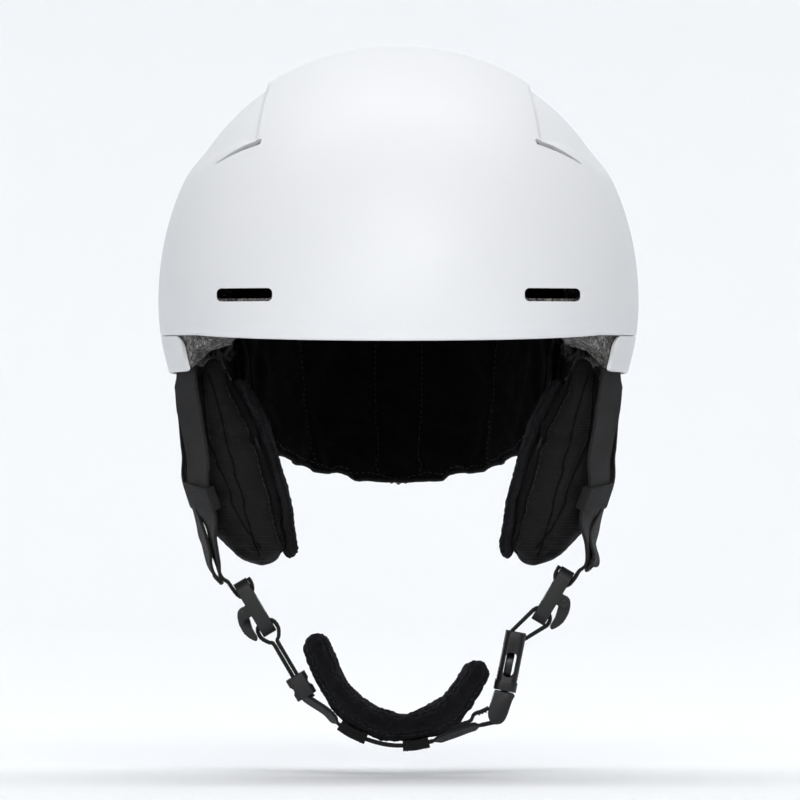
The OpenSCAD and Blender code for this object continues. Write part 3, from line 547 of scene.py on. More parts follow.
class Shader:
    """a Principled material and short hands for the nodes that feed it"""

    def __init__(self, name):
        self.material = bpy.data.materials.new(name)
        self.material.use_nodes = True
        self.tree = self.material.node_tree
        self.tree.nodes.clear()
        self.output = self.tree.nodes.new("ShaderNodeOutputMaterial")
        self.principled = self.tree.nodes.new("ShaderNodeBsdfPrincipled")
        self.link(self.principled.outputs[0], self.output.inputs[0])
        self.obj = self.tree.nodes.new("ShaderNodeTexCoord").outputs["Object"]

    def link(self, source, target):
        self.tree.links.new(source, target)

    def put(self, socket, value):
        if isinstance(value, bpy.types.NodeSocket):
            self.link(value, socket)
        elif value is not None:
            socket.default_value = value

    def node(self, kind, *values, out=0, props=None, **named):
        """a new node's output; values fill its inputs in order, named ones by name"""
        node = self.tree.nodes.new(kind)
        for key, value in (props or {}).items():
            setattr(node, key, value)
        for i, value in enumerate(values):
            self.put(node.inputs[i], value)
        for key, value in named.items():
            self.put(node.inputs[key.replace("_", " ")], value)
        return node.outputs[out]

    def math(self, operation, a, b=None):
        return self.node("ShaderNodeMath", a, b, props={"operation": operation})

    def mul(self, a, b):
        return self.math("MULTIPLY", a, b)

    def add(self, a, b):
        return self.math("ADD", a, b)

    def scale(self, vector, factors):
        return self.node("ShaderNodeVectorMath", vector, factors,
                         props={"operation": "MULTIPLY"})

    def noise(self, vector, scale, detail, rough=0.55, distort=0.0):
        return self.node("ShaderNodeTexNoise", Vector=vector, Scale=scale, Detail=detail,
                         Roughness=rough, Distortion=distort)

    def voronoi(self, vector, scale, feature="F1", out=0):
        return self.node("ShaderNodeTexVoronoi", out=out, props={"feature": feature},
                         Vector=vector, Scale=scale)

    def wave(self, scale, direction, vector=None):
        return self.node("ShaderNodeTexWave", out=1, props={"bands_direction": direction},
                         Vector=vector or self.obj, Scale=scale, Detail=0.0)

    def ramp(self, value, start, end, low=0.0, high=1.0):
        """grey ramp from low at start to high at end"""
        node = self.tree.nodes.new("ShaderNodeValToRGB")
        stops = ((start, low), (end, high))
        for element, (position, grey) in zip(node.color_ramp.elements, stops):
            element.position = position
            element.color = (grey, grey, grey, 1)
        self.put(node.inputs[0], value)
        return node.outputs[0]

    def remap(self, value, low, high, start=0.3, end=0.7):
        return self.node("ShaderNodeMapRange", value, start, end, low, high)

    def mix(self, factor, first, second, amount=None):
        if amount is not None:
            factor = self.mul(factor, amount)
        node = self.tree.nodes.new("ShaderNodeMix")
        node.data_type = "RGBA"
        self.put(node.inputs[0], factor)
        for k, color in ((6, first), (7, second)):
            self.put(node.inputs[k], (*color, 1) if isinstance(color, tuple) else color)
        return node.outputs[2]

    def bump(self, height, strength, distance, normal=None):
        return self.node("ShaderNodeBump", Strength=strength, Distance=distance,
                         Height=height, Normal=normal)

    # mask of convex edges by pointiness: edge wear on the dark plastics, a painted highlight on
    # the white shell
    def edge_wear_and_highlight(self, start, end):
        pointiness = self.tree.nodes.new("ShaderNodeNewGeometry").outputs["Pointiness"]
        return self.ramp(pointiness, start=start, end=end)

    def fab(self):
        """a piece's own across and along coordinates"""
        node = self.tree.nodes.new("ShaderNodeAttribute")
        node.attribute_name = "fab"
        split = self.tree.nodes.new("ShaderNodeSeparateXYZ")
        self.put(split.inputs[0], node.outputs["Vector"])
        return split.outputs[0], split.outputs[1]

    def done(self, color, rough, normal=None, **named):
        inputs = self.principled.inputs
        self.put(inputs["Base Color"], color)
        self.put(inputs["Roughness"], rough)
        self.put(inputs["Normal"], normal)
        for key, value in named.items():
            self.put(inputs[key.replace("_", " ")], value)
        return self.material


def shell_material(name, tint, grain):
    """off-white moulded shell with faint specks and a painted highlight along its convex edges"""
    g = Shader(name)
    broad = g.noise(g.obj, scale=9, detail=3)
    fine = g.noise(g.obj, scale=900, detail=2)
    middle = g.noise(g.obj, scale=140, detail=4)
    color = g.mix(broad, shade((0.80, 0.812, 0.828), tint), shade((0.845, 0.853, 0.865), tint))
    around_specks = g.ramp(g.voronoi(g.obj, scale=420), start=0.0, end=0.06)
    specks = g.math("SUBTRACT", 1.0, around_specks)
    color = g.mix(specks, color, (0.62, 0.62, 0.63), amount=0.22)
    # painted highlight: the shell's convex edges lightened towards near-white
    color = g.mix(g.edge_wear_and_highlight(start=0.5, end=0.62), color, (0.93, 0.93, 0.94), amount=0.35)
    rough = g.remap(middle, low=0.40, high=0.54)
    normal = g.bump(fine, strength=0.10 * grain, distance=0.00006)
    normal = g.bump(broad, strength=0.06, distance=0.0008, normal=normal)
    return g.done(color, rough, normal, Coat_Weight=0.06, Coat_Roughness=0.35, IOR=1.47)


def foam_material(name):
    """dark bead foam: warped cells with black gaps"""
    g = Shader(name)
    drift = g.node("ShaderNodeTexNoise", out=1, Vector=g.obj, Scale=300.0, Detail=2.0)
    warped = g.node("ShaderNodeVectorMath", g.obj, g.scale(drift, (0.00035,) * 3),
                    props={"operation": "ADD"})
    edge = g.voronoi(warped, scale=330, feature="DISTANCE_TO_EDGE")
    cell = g.voronoi(warped, scale=330, out=1)
    bead = g.ramp(edge, start=0.0, end=0.10)
    patches = g.ramp(g.noise(g.obj, scale=420, detail=4, rough=0.7), start=0.40, end=0.52)
    tone = g.mix(g.node("ShaderNodeSeparateColor", cell),
                 (0.10, 0.096, 0.090), (0.30, 0.288, 0.272))
    color = g.mix(g.mul(bead, patches), (0.022, 0.021, 0.020), tone)
    height = g.add(g.mul(bead, 0.6), g.mul(g.noise(g.obj, scale=900, detail=2), 0.4))
    return g.done(color, g.ramp(bead, start=0, end=1, low=0.9, high=0.62),
                  g.bump(height, strength=0.8, distance=0.0006), IOR=1.4)


def cloth_material(name, color, pitch, axis, sheen, bump, rough, specular=0.16):
    """woven cloth with fine ribs across the axis, pitch metres apart"""
    g = Shader(name)
    rib = g.wave(scale=1 / pitch / 2, direction=axis)
    cross = g.wave(scale=1 / (pitch * 1.5) / 2, direction="DIAGONAL",
                   vector=g.scale(g.obj, (1.0, 1.0, 1.0)))
    stretch = (1, 1, 6) if axis == "Z" else (6, 1, 1)
    slub = g.noise(g.scale(g.obj, stretch), scale=260, detail=3)
    height = g.add(g.mul(rib, 0.7), g.mul(cross, 0.3))
    height = g.add(height, g.mul(slub, 0.5))
    fuzz = g.noise(g.obj, scale=3000, detail=2)
    tone = g.mix(height, shade(color, 0.55), shade(color, 1.7), amount=0.62)
    faded = g.ramp(g.noise(g.obj, scale=28, detail=3), start=0.45, end=0.75)
    tone = g.mix(faded, tone, shade(color, 2.2), amount=0.25)
    normal = g.bump(height, strength=bump, distance=0.00035)
    normal = g.bump(fuzz, strength=0.35, distance=0.00012, normal=normal)
    return g.done(tone, g.ramp(fuzz, start=0.3, end=0.7, low=rough - 0.1, high=rough + 0.08),
                  normal, Sheen_Weight=sheen, Sheen_Roughness=0.5,
                  Sheen_Tint=(0.30, 0.30, 0.32, 1), Specular_IOR_Level=specular)


def plush_material(name, color, sheen):
    """pile fabric with clumps"""
    g = Shader(name)
    pile = g.noise(g.obj, scale=900, detail=4, rough=0.75, distort=0.6)
    clump = g.noise(g.obj, scale=170, detail=4, rough=0.65, distort=0.4)
    lay = g.noise(g.scale(g.obj, (1, 1, 0.45)), scale=60, detail=3)
    height = g.add(g.mul(pile, 0.55), g.mul(clump, 0.7))
    tone = g.mix(g.ramp(height, start=0.42, end=0.85), shade(color, 0.4), shade(color, 2.6))
    tone = g.mix(g.ramp(lay, start=0.45, end=0.7), tone, shade(color, 3.0), amount=0.3)
    normal = g.bump(clump, strength=0.7, distance=0.0011)
    normal = g.bump(pile, strength=0.8, distance=0.0005, normal=normal)
    return g.done(tone, g.ramp(pile, start=0.3, end=0.7, low=0.85, high=1.0), normal,
                  Sheen_Weight=sheen, Sheen_Roughness=0.6, Sheen_Tint=(0.22, 0.22, 0.24, 1),
                  Specular_IOR_Level=0.05)


def webbing_material(name, color):
    """herringbone webbing: the slope of the threads flips every 2.5 mm across"""
    g = Shader(name)
    across, lengthwise = g.fab()
    zigzag = g.math("PINGPONG", across, 2.5)
    slanted = g.add(lengthwise, g.mul(zigzag, 0.9))
    rib = g.math("SINE", g.mul(slanted, TURN / 1.05))
    warp = g.math("SINE", g.mul(across, TURN / 0.62))
    height = g.add(g.mul(rib, 0.35), g.mul(warp, 0.18))
    height = g.add(height, 0.5)
    edge = g.ramp(g.math("DIVIDE", g.math("ABSOLUTE", across), 11.0), start=0.80, end=0.86)
    fuzz = g.noise(g.obj, scale=2600, detail=2)
    blotches = g.noise(g.obj, scale=45, detail=3)
    tone = g.mix(height, shade(color, 0.5), shade(color, 2.1))
    tone = g.mix(edge, tone, shade(color, 2.4), amount=0.5)
    tone = g.mix(g.ramp(blotches, start=0.45, end=0.75), tone, shade(color, 2.0), amount=0.3)
    normal = g.bump(height, strength=0.75, distance=0.00028)
    normal = g.bump(fuzz, strength=0.3, distance=0.0001, normal=normal)
    return g.done(tone, g.ramp(height, start=0, end=1, low=0.82, high=0.58), normal,
                  Sheen_Weight=0.05, Sheen_Roughness=0.4, Specular_IOR_Level=0.22)


def plastic_material(name, color, rough, grain, wear):
    """dark moulded plastic with pale edges and light scratches"""
    g = Shader(name)
    pebble = g.voronoi(g.obj, scale=1500)
    fine = g.noise(g.obj, scale=2200, detail=3)
    broad = g.noise(g.obj, scale=55, detail=4)
    scratches = g.ramp(g.noise(g.scale(g.obj, (1, 9, 1)), scale=210, detail=5, rough=0.7),
                       start=0.60, end=0.66)
    edges = g.edge_wear_and_highlight(start=0.505, end=0.60)
    tone = g.mix(broad, shade(color, 0.75), shade(color, 1.35))
    tone = g.mix(edges, tone, shade(color, 5), amount=wear)
    tone = g.mix(scratches, tone, shade(color, 3.2), amount=0.18)
    roughness = g.remap(broad, low=rough - 0.07, high=rough + 0.09)
    roughness = g.add(roughness, g.mul(scratches, 0.1))
    normal = g.bump(pebble, strength=grain, distance=0.00008)
    normal = g.bump(fine, strength=grain * 0.6, distance=0.00005, normal=normal)
    return g.done(tone, roughness, normal, Specular_IOR_Level=0.34)


def steel_material(name, color):
    g = Shader(name)
    brushed = g.noise(g.scale(g.obj, (1, 1, 14)), scale=500, detail=3)
    broad = g.noise(g.obj, scale=120, detail=3)
    tone = g.mix(broad, shade(color, 0.8), shade(color, 1.15))
    return g.done(tone, g.remap(brushed, low=0.24, high=0.42),
                  g.bump(brushed, strength=0.25, distance=0.00004), Metallic=1.0)


def hook_material(name):
    """hook tape: small raised dots"""
    g = Shader(name)
    cells = g.voronoi(g.obj, scale=900)
    height = g.ramp(cells, start=0.0, end=0.5, low=1.0, high=0.0)
    tone = g.mix(height, (0.006, 0.006, 0.007), (0.05, 0.05, 0.055))
    tone = g.mix(g.noise(g.obj, scale=200, detail=3), tone, (0.02, 0.02, 0.024), amount=0.4)
    return g.done(tone, g.ramp(cells, start=0, end=1, low=0.5, high=0.9),
                  g.bump(height, strength=0.9, distance=0.0005))


def screen_material(name):
    """moulded screen: fine raised lattice"""
    g = Shader(name)
    height = g.math("MAXIMUM", g.wave(scale=260, direction="X"),
                    g.wave(scale=260, direction="Z"))
    tone = g.mix(height, (0.006, 0.006, 0.006), (0.03, 0.03, 0.032))
    rough = g.ramp(g.noise(g.obj, scale=300, detail=3), start=0.3, end=0.7, low=0.4, high=0.6)
    return g.done(tone, rough, g.bump(height, strength=0.5, distance=0.0003))


def thread_material(name, color):
    """twisted sewing thread"""
    g = Shader(name)
    across, lengthwise = g.fab()
    twist = g.math("SINE", g.add(g.mul(lengthwise, TURN / 0.5), g.mul(across, 3.0)))
    height = g.add(g.mul(twist, 0.5), 0.5)
    tone = g.mix(height, shade(color, 0.5), shade(color, 1.8))
    tone = g.mix(g.noise(g.obj, scale=500, detail=2), tone, color, amount=0.4)
    rough = g.ramp(g.noise(g.obj, scale=1400, detail=2), start=0.3, end=0.7, low=0.5, high=0.8)
    return g.done(tone, rough, g.bump(height, strength=0.6, distance=0.00015),
                  Sheen_Weight=0.1)


SHELL = shell_material("shell_white", tint=1.0, grain=1.0)
SHELL_LOW = shell_material("shell_lower", tint=0.97, grain=1.6)
FOAM = foam_material("bead_foam")
LINER = cloth_material("liner_knit", color=(0.0040, 0.0040, 0.0044), pitch=0.0009, axis="Z",
                       sheen=0.06, bump=0.6, rough=0.9, specular=0.08)
COVER = cloth_material("ear_cloth", color=(0.0078, 0.0075, 0.0078), pitch=0.0011, axis="Z",
                       sheen=0.12, bump=0.75, rough=0.82)
PIPING = cloth_material("piping", color=(0.0100, 0.0098, 0.0102), pitch=0.0007, axis="X",
                        sheen=0.12, bump=0.4, rough=0.7)
# seam cord, darker than the cover cloth: a real cord coloured with painted shade of the seam
# grooves
SEAM_CORD_GROOVE_SHADE = cloth_material("seam_cord_groove_shade", color=(0.0032, 0.0032, 0.0034), pitch=0.0006, axis="X",
                      sheen=0.04, bump=0.4, rough=0.8, specular=0.08)
PLUSH = plush_material("plush", color=(0.0036, 0.0036, 0.0040), sheen=0.22)
PLUSH_LINING = plush_material("plush_lining", color=(0.0024, 0.0024, 0.0027), sheen=0.10)
WEBBING = webbing_material("webbing", color=(0.0068, 0.0066, 0.0070))
NYLON = plastic_material("nylon", color=(0.0085, 0.0085, 0.0090), rough=0.50, grain=0.35,
                         wear=0.35)
ACETAL = plastic_material("acetal", color=(0.0075, 0.0075, 0.0080), rough=0.32, grain=0.12,
                          wear=0.4)
BELT = plastic_material("belt", color=(0.0060, 0.0060, 0.0066), rough=0.6, grain=0.3,
                        wear=0.15)
STEEL = steel_material("steel", color=(0.45, 0.45, 0.46))
HOOK = hook_material("hook_tape")
SCREEN = screen_material("screen")
THREAD = thread_material("thread", color=(0.0040, 0.0040, 0.0043))


# ------------------------------------------------------------------ shells
def ring_azimuths():
    """even spacing, with extra columns where the rim drops at the front corners"""
    angles = set(np.round(np.linspace(-90, 270, 432, endpoint=False), 4).tolist())
    for e in (53.2, 54.0, 54.6, 55.4, 56.8, 57.4, 58.2, 59.0):
        for side in (1, -1):
            angles.add(round(azimuth_of(e, side), 4))
    return np.array(sorted(a for a in angles if -90 <= a < 270))


RING = ring_azimuths()
RING_OFF_FRONT = from_front(RING)


def lip_swell(above):
    """rolled lip and the faint crease over it, by millimetres above the edge"""
    return 0.42 * bell(above, 1.3, 1.25) - 0.20 * bell(above, 4.6, 0.8)


def dome_rows(polars, inset, sunk=0.0, soft=0.75):
    azimuth, polar = np.meshgrid(RING, polars)
    points = on_dome(SHELL_SIZE, azimuth, polar, inset)
    outer = on_dome(SHELL_SIZE, azimuth, polar)
    dip = sunk * ease((np.abs(outer[..., 0]) - 36) / 12) * ease((outer[..., 2] - 66) / 8)
    return points - outward(outer) * (panel_depth(outer, soft) + dip)[..., None]


def build_outer_shell():
    off_front = RING_OFF_FRONT
    low = seam_z(off_front)
    join_z = 17.2            # where the lip rows meet the dome rows outside
    inner_join_z = 17.0
    half_wall = SHELL_WALL / 2
    edge_radius = 0.9
    lip_share = np.where(off_front < 60, 1, 1 - ease((off_front - 60) / 8))
    rows = [dome_rows(np.concatenate([[2.5, 5], np.arange(8, 90, 0.95)]), 0.0)]
    for k in (1.0, 0.86, 0.74, 0.64, 0.55, 0.47, 0.40, 0.33, 0.27, 0.22, 0.17, 0.13, 0.095,
              0.065, 0.04):
        z = low + (join_z - low) * k
        points = skin(RING, z, 0.0)
        swell = (lip_swell(z - low) * lip_share)[:, None]
        rows.append((points + level_outward(points) * swell)[None])
    # the lip turns under
    lip_normal = level_outward(skin(RING, low + 1, 0))
    for degrees in (20, 50, 80, 110, 140, 165):
        a = math.radians(degrees)
        out = half_wall + half_wall * math.cos(a)
        z = low + edge_radius - edge_radius * math.sin(a)
        swell = (0.40 * lip_share * (out / SHELL_WALL))[:, None]
        rows.append((skin(RING, z, SHELL_WALL - out) + lip_normal * swell)[None])
    for k in (0.05, 0.2, 0.5, 0.8, 1.0):
        z = low + edge_radius + (inner_join_z - low - edge_radius) * k
        rows.append(skin(RING, z, SHELL_WALL)[None])
    rows.append(dome_rows(np.concatenate([np.arange(88, 8, -2.0), [5, 2.5]]), SHELL_WALL))
    solid_parts = lathe(np.concatenate(rows), (0, 0, SHELL_TOP), (0, 0, SHELL_TOP - SHELL_WALL))
    return mesh("outer_shell_v", *solid_parts, SHELL, sharp=38)


def slot_cutter(cx, cz, outline, y0, y1):
    loops = [[(cx + x, y, cz + z) for x, z in outline] for y in (y0, y1)]
    return solid("cutter", *sweep(loops))


def hull_cutter(side, balls):
    """convex hull of balls given as (x, y, z, radius) for the +X side"""
    bm = bmesh.new()
    for x, y, z, radius in balls:
        ball = bmesh.ops.create_icosphere(bm, subdivisions=2, radius=radius * MM)
        bmesh.ops.translate(bm, verts=ball["verts"], vec=Vector((side * x, y, z)) * MM)
    hull = bmesh.ops.convex_hull(bm, input=bm.verts)
    spare = list(set(hull["geom_interior"]) | set(hull["geom_unused"]))
    bmesh.ops.delete(bm, geom=spare, context="VERTS")
    me = bpy.data.meshes.new("cutter")
    bm.to_mesh(me)
    bm.free()
    return link("cutter", me)


def vent_cutters(front_end_y, depth, lip=0.0):
    """slots low at the front and at the rear, and slanted openings high on the sides;
    a lip leaves a ledge along the bottom of the slots"""
    tighter = 0.4 if lip else 0.0
    out = []
    for side in (-1, 1):
        front = rounded_rect(25.5, 6.0 - lip, 2.2 - tighter)
        out.append(slot_cutter(side * 70, 21 + lip / 2, front, -140, front_end_y))
        rear = rounded_rect(30, 7 - lip, 3 - tighter)
        out.append(slot_cutter(side * 34, 66 + lip / 2, rear, 60, 150))
        out.append(hull_cutter(side, [
            (65.2, -80.8, 92.6, 1.75), (66.4, -82.6, 93.6, 1.7),
            (85, -61.5, 82.8, 0.55), (87, -62.6, 83.8, 0.5),
            (65.5 - depth * 0.55, -80.5 + depth * 0.5, 92.6 - depth * 0.6, 1.6),
            (86 - depth * 0.75, -60 + depth * 0.4, 82.6 - depth * 0.5, 0.7)]))
        out.append(hull_cutter(side, [
            (62, 82, 92, 2.6), (80, 62, 84, 1.2),
            (62 - depth * 0.5, 82 - depth * 0.5, 92 - depth * 0.6, 2.6),
            (80 - depth * 0.7, 62 - depth * 0.3, 84 - depth * 0.5, 1.2)]))
    return out


shell = build_outer_shell()
for cutter in vent_cutters(front_end_y=-80, depth=16):
    cut(shell, cutter)
finish_mesh(shell, SHELL, sharp=34)
place(shell, "helmet", "outer_shell")

# section of the lower shell: inset, share of the height, millimetres added
LOWER_SECTION = (
    [(1.0, 1, 0.0), (0.35, 1, -0.02), (0.08, 1, -0.25), (0.0, 1, -0.6)]
    + [(0.0, k, 0) for k in (0.85, 0.7, 0.55, 0.4, 0.25, 0.12)]
    + [(0.0, 0, 1.0), (0.12, 0, 0.45), (0.45, 0, 0.1), (1.0, 0, 0.0), (1.55, 0, 0.1),
       (1.9, 0, 0.45), (SHELL_WALL, 0, 1.0)]
    + [(SHELL_WALL, k, 0) for k in (0.25, 0.5, 0.75)]
    + [(SHELL_WALL, 1, -0.6), (1.7, 1, -0.1)])


def build_lower_shell():
    """band under the seam, from one front corner round the rear to the other"""
    first = 59.0
    e = np.concatenate([[first, 59.2, 59.5, 59.9, 60.4, 61, 61.6, 62.2, 62.9, 63.8, 65, 66.6],
                        np.arange(68.5, 180.1, 1.5)])
    azimuth = np.concatenate([azimuth_of(e), azimuth_of(e, -1)[::-1][1:]])
    off_front = from_front(azimuth)
    corner = 1 - np.clip((off_front - first) / 3.6, 0, 1)
    rounding = 1 - np.sqrt(np.maximum(0, 1 - corner ** 2))
    top = seam_z(off_front) - 0.22 - 5.0 * rounding
    bottom = rim_z(off_front) + 0.8 * rounding
    loops = []
    for inset, share, add in LOWER_SECTION:
        z = np.clip(lerp(bottom, top, share) + add, bottom, top)
        swell = 0.25 * bell(z - bottom, 1.2, 1.1) if inset < 0.6 else 0
        loops.append(skin(azimuth, z, inset - swell))
    return mesh("lower_shell_v", *sweep(np.stack(loops, 1)), SHELL_LOW, sharp=38)


place(build_lower_shell(), "helmet", "lower_shell")


# ------------------------------------------------------------------ bead foam core
def build_foam():
    e = RING_OFF_FRONT
    inset = 2.35
    join_z = 17.0
    lobe_start, lobe_end = 43.6, 59.5     # the edge dips between these angles
    lobe = np.interp(e, [lobe_start, 44.8, 47.6, 51.2, 55.5, lobe_end],
                     [float(seam_z(lobe_start)), 1.2, -1.6, -4.2, -7.4, float(rim_z(lobe_end))])
    low = (np.where(e < lobe_start, seam_z(e), np.where(e > lobe_end, rim_z(e), lobe))
           + np.where((e > lobe_start) & (e < lobe_end), 0.3, 1.2))
    # rise of the underside from the shell to the cavity
    side_rise = 3.5 + 11.5 * ease((e - 53) / 4) - 8 * ease((e - 64) / 16) + 0.5
    rise = np.where(e < 53, 1.5 + 3.5 * ease((e - 43.4) / 3),
                    np.where(e < 80, side_rise, 7.5 - 3 * ease((e - 80) / 50)))
    rows = [dome_rows(np.concatenate([[4], np.arange(8, 90, 3.0)]), inset, sunk=1.1, soft=1.0)]
    for k in (0.0, 0.25, 0.5, 0.75, 0.9, 0.97):
        rows.append(skin(RING, lerp(join_z, low, k), inset)[None])
    outer = skin(RING, low, inset)
    inner = wall(RING, low + rise, 0)
    for k in np.linspace(0.04, 0.96, 13):
        points = outer + (inner - outer) * k
        points[:, 2] -= 0.5 * math.sin(math.pi * k)
        rows.append(points[None])
    for k in (0.0, 0.1, 0.25, 0.45, 0.7, 1.0):
        rows.append(wall(RING, lerp(low + rise, join_z, k), 0)[None])
    azimuth, polar = np.meshgrid(RING, np.concatenate([np.arange(88, 8, -3.0), [4]]))
    rows.append(on_dome(CAVITY_SIZE, azimuth, polar))
    points, faces = lathe(np.concatenate(rows), (0, 0, SHELL_TOP - inset),
                          (0, 0, WIDEST_Z + CAVITY_SIZE[3]))
    # moulded beads: slight lumps on the free faces, none where the shell covers it
    under_shell = skin(np.degrees(np.arctan2(points[:, 1], points[:, 0])),
                       np.clip(points[:, 2], -60, 130), inset)
    free = np.linalg.norm(points - under_shell, axis=1) > 0.8
    out = unit(points - np.array([0, 0, 10.0]))
    points = points + out * (0.10 * field(points, 3.4, 2) * free)[:, None]
    return mesh("foam_core_v", points, faces, FOAM, sharp=45)


def pocket_cutter(azimuth, side):
    """upright pocket in the foam above an ear pad"""
    centre = skin(float(azimuth), -12.0, 9.5)
    turn = Matrix.Rotation(math.radians(azimuth * 0.7), 4, "Z")
    loops = [[turn @ Vector((x, y, 0)) + Vector((centre[0], centre[1], z))
              for x, y in rounded_rect(6.4, 24.4, 1.4, 4)] for z in (-40, 16)]
    return solid("cutter", *sweep(mirror_x(loops, side)))


foam = build_foam()
for cutter in vent_cutters(front_end_y=-60, depth=26, lip=1.3):
    cut(foam, cutter)
for side, _ in SIDES:
    for azimuth in (-20, 20):
        cut(foam, pocket_cutter(azimuth, side))
finish_mesh(foam, FOAM, sharp=40)
place(foam, "helmet", "foam_core")


# ------------------------------------------------------------------ lining
def stitch_line(path, tree, pitch=2.6, length=1.75, radius=0.17):
    """a row of separate thread stitches along a path on a surface, as one object"""
    path = resample(path, 0.6)
    distances = lengths(path)
    height = np.array([-0.25, 0.10, 0.17, 0.10, -0.25]) + 0.06
    angle = np.linspace(0, TURN, 6, endpoint=False)
    points, faces, fab = [], [], []
    start = 0.4
    while start + length < distances[-1]:
        t = np.linspace(start, start + length, 5)
        hits, normal = nearest(sample(t, distances, path), tree)
        mid = hits + normal * height[:, None]
        across = unit(np.cross(unit(np.gradient(mid, axis=0)), normal))
        loops = mid[:, None, :] + (normal[:, None, :] * np.sin(angle)[None, :, None]
                                   + across[:, None, :] * np.cos(angle)[None, :, None]) * radius
        new_points, new_faces = sweep(loops)
        offset = len(points) * len(new_points)
        faces += [tuple(i + offset for i in face) for face in new_faces]
        points.append(new_points)
        fab.append(np.stack([np.tile(angle * radius, 5), np.repeat(t, 6)], 1))
        start += pitch
    if not points:
        return None
    return mesh("stitches", np.concatenate(points), faces, THREAD, fab=np.concatenate(fab),
                sharp=60)


def band_solid(start, end, count, low, high, back, face, side):
    """closed pad between two insets of the cavity wall, thinner at its long edges"""
    k = np.linspace(0, 1, 8)
    u = np.abs(k - 0.5) * 2
    loops = []
    for e in np.linspace(start, end, count):
        a = azimuth_of(e, side)
        z = lerp(float(low(e)), float(high(e)), k)
        front = wall(a, z, face - 1.6 * u ** 3 * (face - back) / 6 * 1.2)
        loops.append(np.concatenate([wall(a, z, back), front[::-1]]))
    return sweep(np.array(loops))


def lining_pad(name, body, start, end, count, low, high, back, face, seams, cap, side=1,
               voxel=3.6):
    """plush pad on the cavity wall, with sewn seams and a bound edge

    start, end and seams are degrees from the front, low and high give its edge heights,
    back and face are the insets of its two faces."""
    solid_parts = band_solid(start, end, count, low, high, back, face, side)
    ob = pad_mesh(name + "_v", *solid_parts, PLUSH_LINING)

    def measure(points, seam_width):
        """angle from the front, distance off the back face and closeness to a seam"""
        a = np.degrees(np.arctan2(points[:, 1], points[:, 0]))
        e = (a + 90) if side > 0 else (270 - a)
        e = np.where(e > 300, e - 360, e)
        radius = np.hypot(points[:, 0], points[:, 1])
        near = np.zeros(len(points))
        for seam in seams:
            near = np.maximum(near, bell((e - seam) * radius * RADIANS_PER_DEGREE, 0, seam_width))
        off_back = np.linalg.norm(wall(a, points[:, 2], back)[:, :2] - points[:, :2], axis=1)
        return e, off_back, near

    def hold(points):
        e, off_back, weight = measure(points, 2.4)
        weight = np.maximum(weight, (off_back < 1.2) * 1.0)
        z = points[:, 2]
        to_edge = np.minimum(np.abs(z - low(e)), np.abs(z - high(e)))
        return np.maximum(weight, 0.9 * (to_edge < 1.6))

    puff(ob, voxel, cap, hold)
    hem = 4.0                # stitched line in from the edges
    co, normal = surface(ob)
    e, off_back, weight = measure(co, 1.9)
    weight = np.maximum(weight, bell(co[:, 2], low(e) + hem, 1.5) * 0.7)
    weight = np.maximum(weight, bell(co[:, 2], high(e) - hem, 1.5) * 0.7)
    co = co - normal * (weight * 0.8 * ease(off_back / 4.0))[:, None]
    lumps = 0.16 * field(co, 9, 1) + 0.10 * field(co, 2.6, 3)
    co = co + normal * (lumps * ease(off_back / 3))[:, None]
    set_coords(ob.data, co * MM)
    finish_mesh(ob, PLUSH_LINING)
    tree = surface_tree(ob)

    parts = [ob]
    e = np.linspace(start + 1.2, end - 1.2, 60)
    for z in (low(e) + hem, high(e) - hem):
        parts.append(stitch_line(wall(azimuth_of(e, side), z, face + 1.0), tree))
    for seam in seams:
        z = np.linspace(float(low(seam)) + 5, float(high(seam)) - 5, 20)
        parts.append(stitch_line(wall(azimuth_of(seam, side), z, face + 1.0), tree))
    inset = 0.5 * (back + face) - 0.6
    e = np.linspace(start, end, 70)
    a = azimuth_of(e, side)
    loop = np.concatenate([wall(a, low(e) + 0.2, inset), wall(a, high(e) - 0.2, inset)[::-1]])
    binding = resample(np.concatenate([loop, loop[:1]]), 2.2)[:-1]
    parts.append(tube(snap(binding, tree, 0.15), 0.95, PIPING, 8, closed=True))
    ob = join(name + "_v", parts)
    finish_mesh(ob)
    place(ob, body, name)


def level(z):
    return lambda e: np.full_like(np.asarray(e, float), z)


def temple_low(e):
    e = np.asarray(e, float)
    return lerp(-1.6, -7.1, ease((e - 58) / 8)) - 3 * ease((e - 100) / 9)


def nape_low(e):
    off_rear = 180 - np.asarray(e, float)
    return -66 + 14 * (off_rear / 46) ** 2 + 12 * ease((np.abs(off_rear) - 42) / 18) + 0.5


PAD_TOP = 26.4
lining_pad("brow_pad", "helmet", start=-55, end=55, count=60, low=level(3.9),
           high=level(PAD_TOP), back=1.0, face=6.6, seams=[-30, -10, 10, 30], cap=1.6)
for side, side_name in SIDES:
    lining_pad("temple_pad_" + side_name, "helmet", start=58.6, end=108.2, count=30,
               low=temple_low, high=level(PAD_TOP), back=3.8, face=7.4, seams=[75, 92],
               cap=1.6, side=side)
lining_pad("nape_pad", "cradle", start=123.8, end=236.2, count=60, low=nape_low,
           high=level(11.6), back=5.3, face=11.4, seams=[152, 174, 186, 208], cap=2.0,
           voxel=4.0)

CROWN_BACK, CROWN_FACE = 2.1, 7.8      # insets of the crown lining's two faces
CROWN_EDGE = 80                        # degrees down from the crown
CROWN_SEAM_X = 9
OPENING = (15, 34, 6)                  # width along x, length along y, corner radius
OPENINGS = [(x, y) for x in (-30, 30) for y in (-48, 0, 48)]


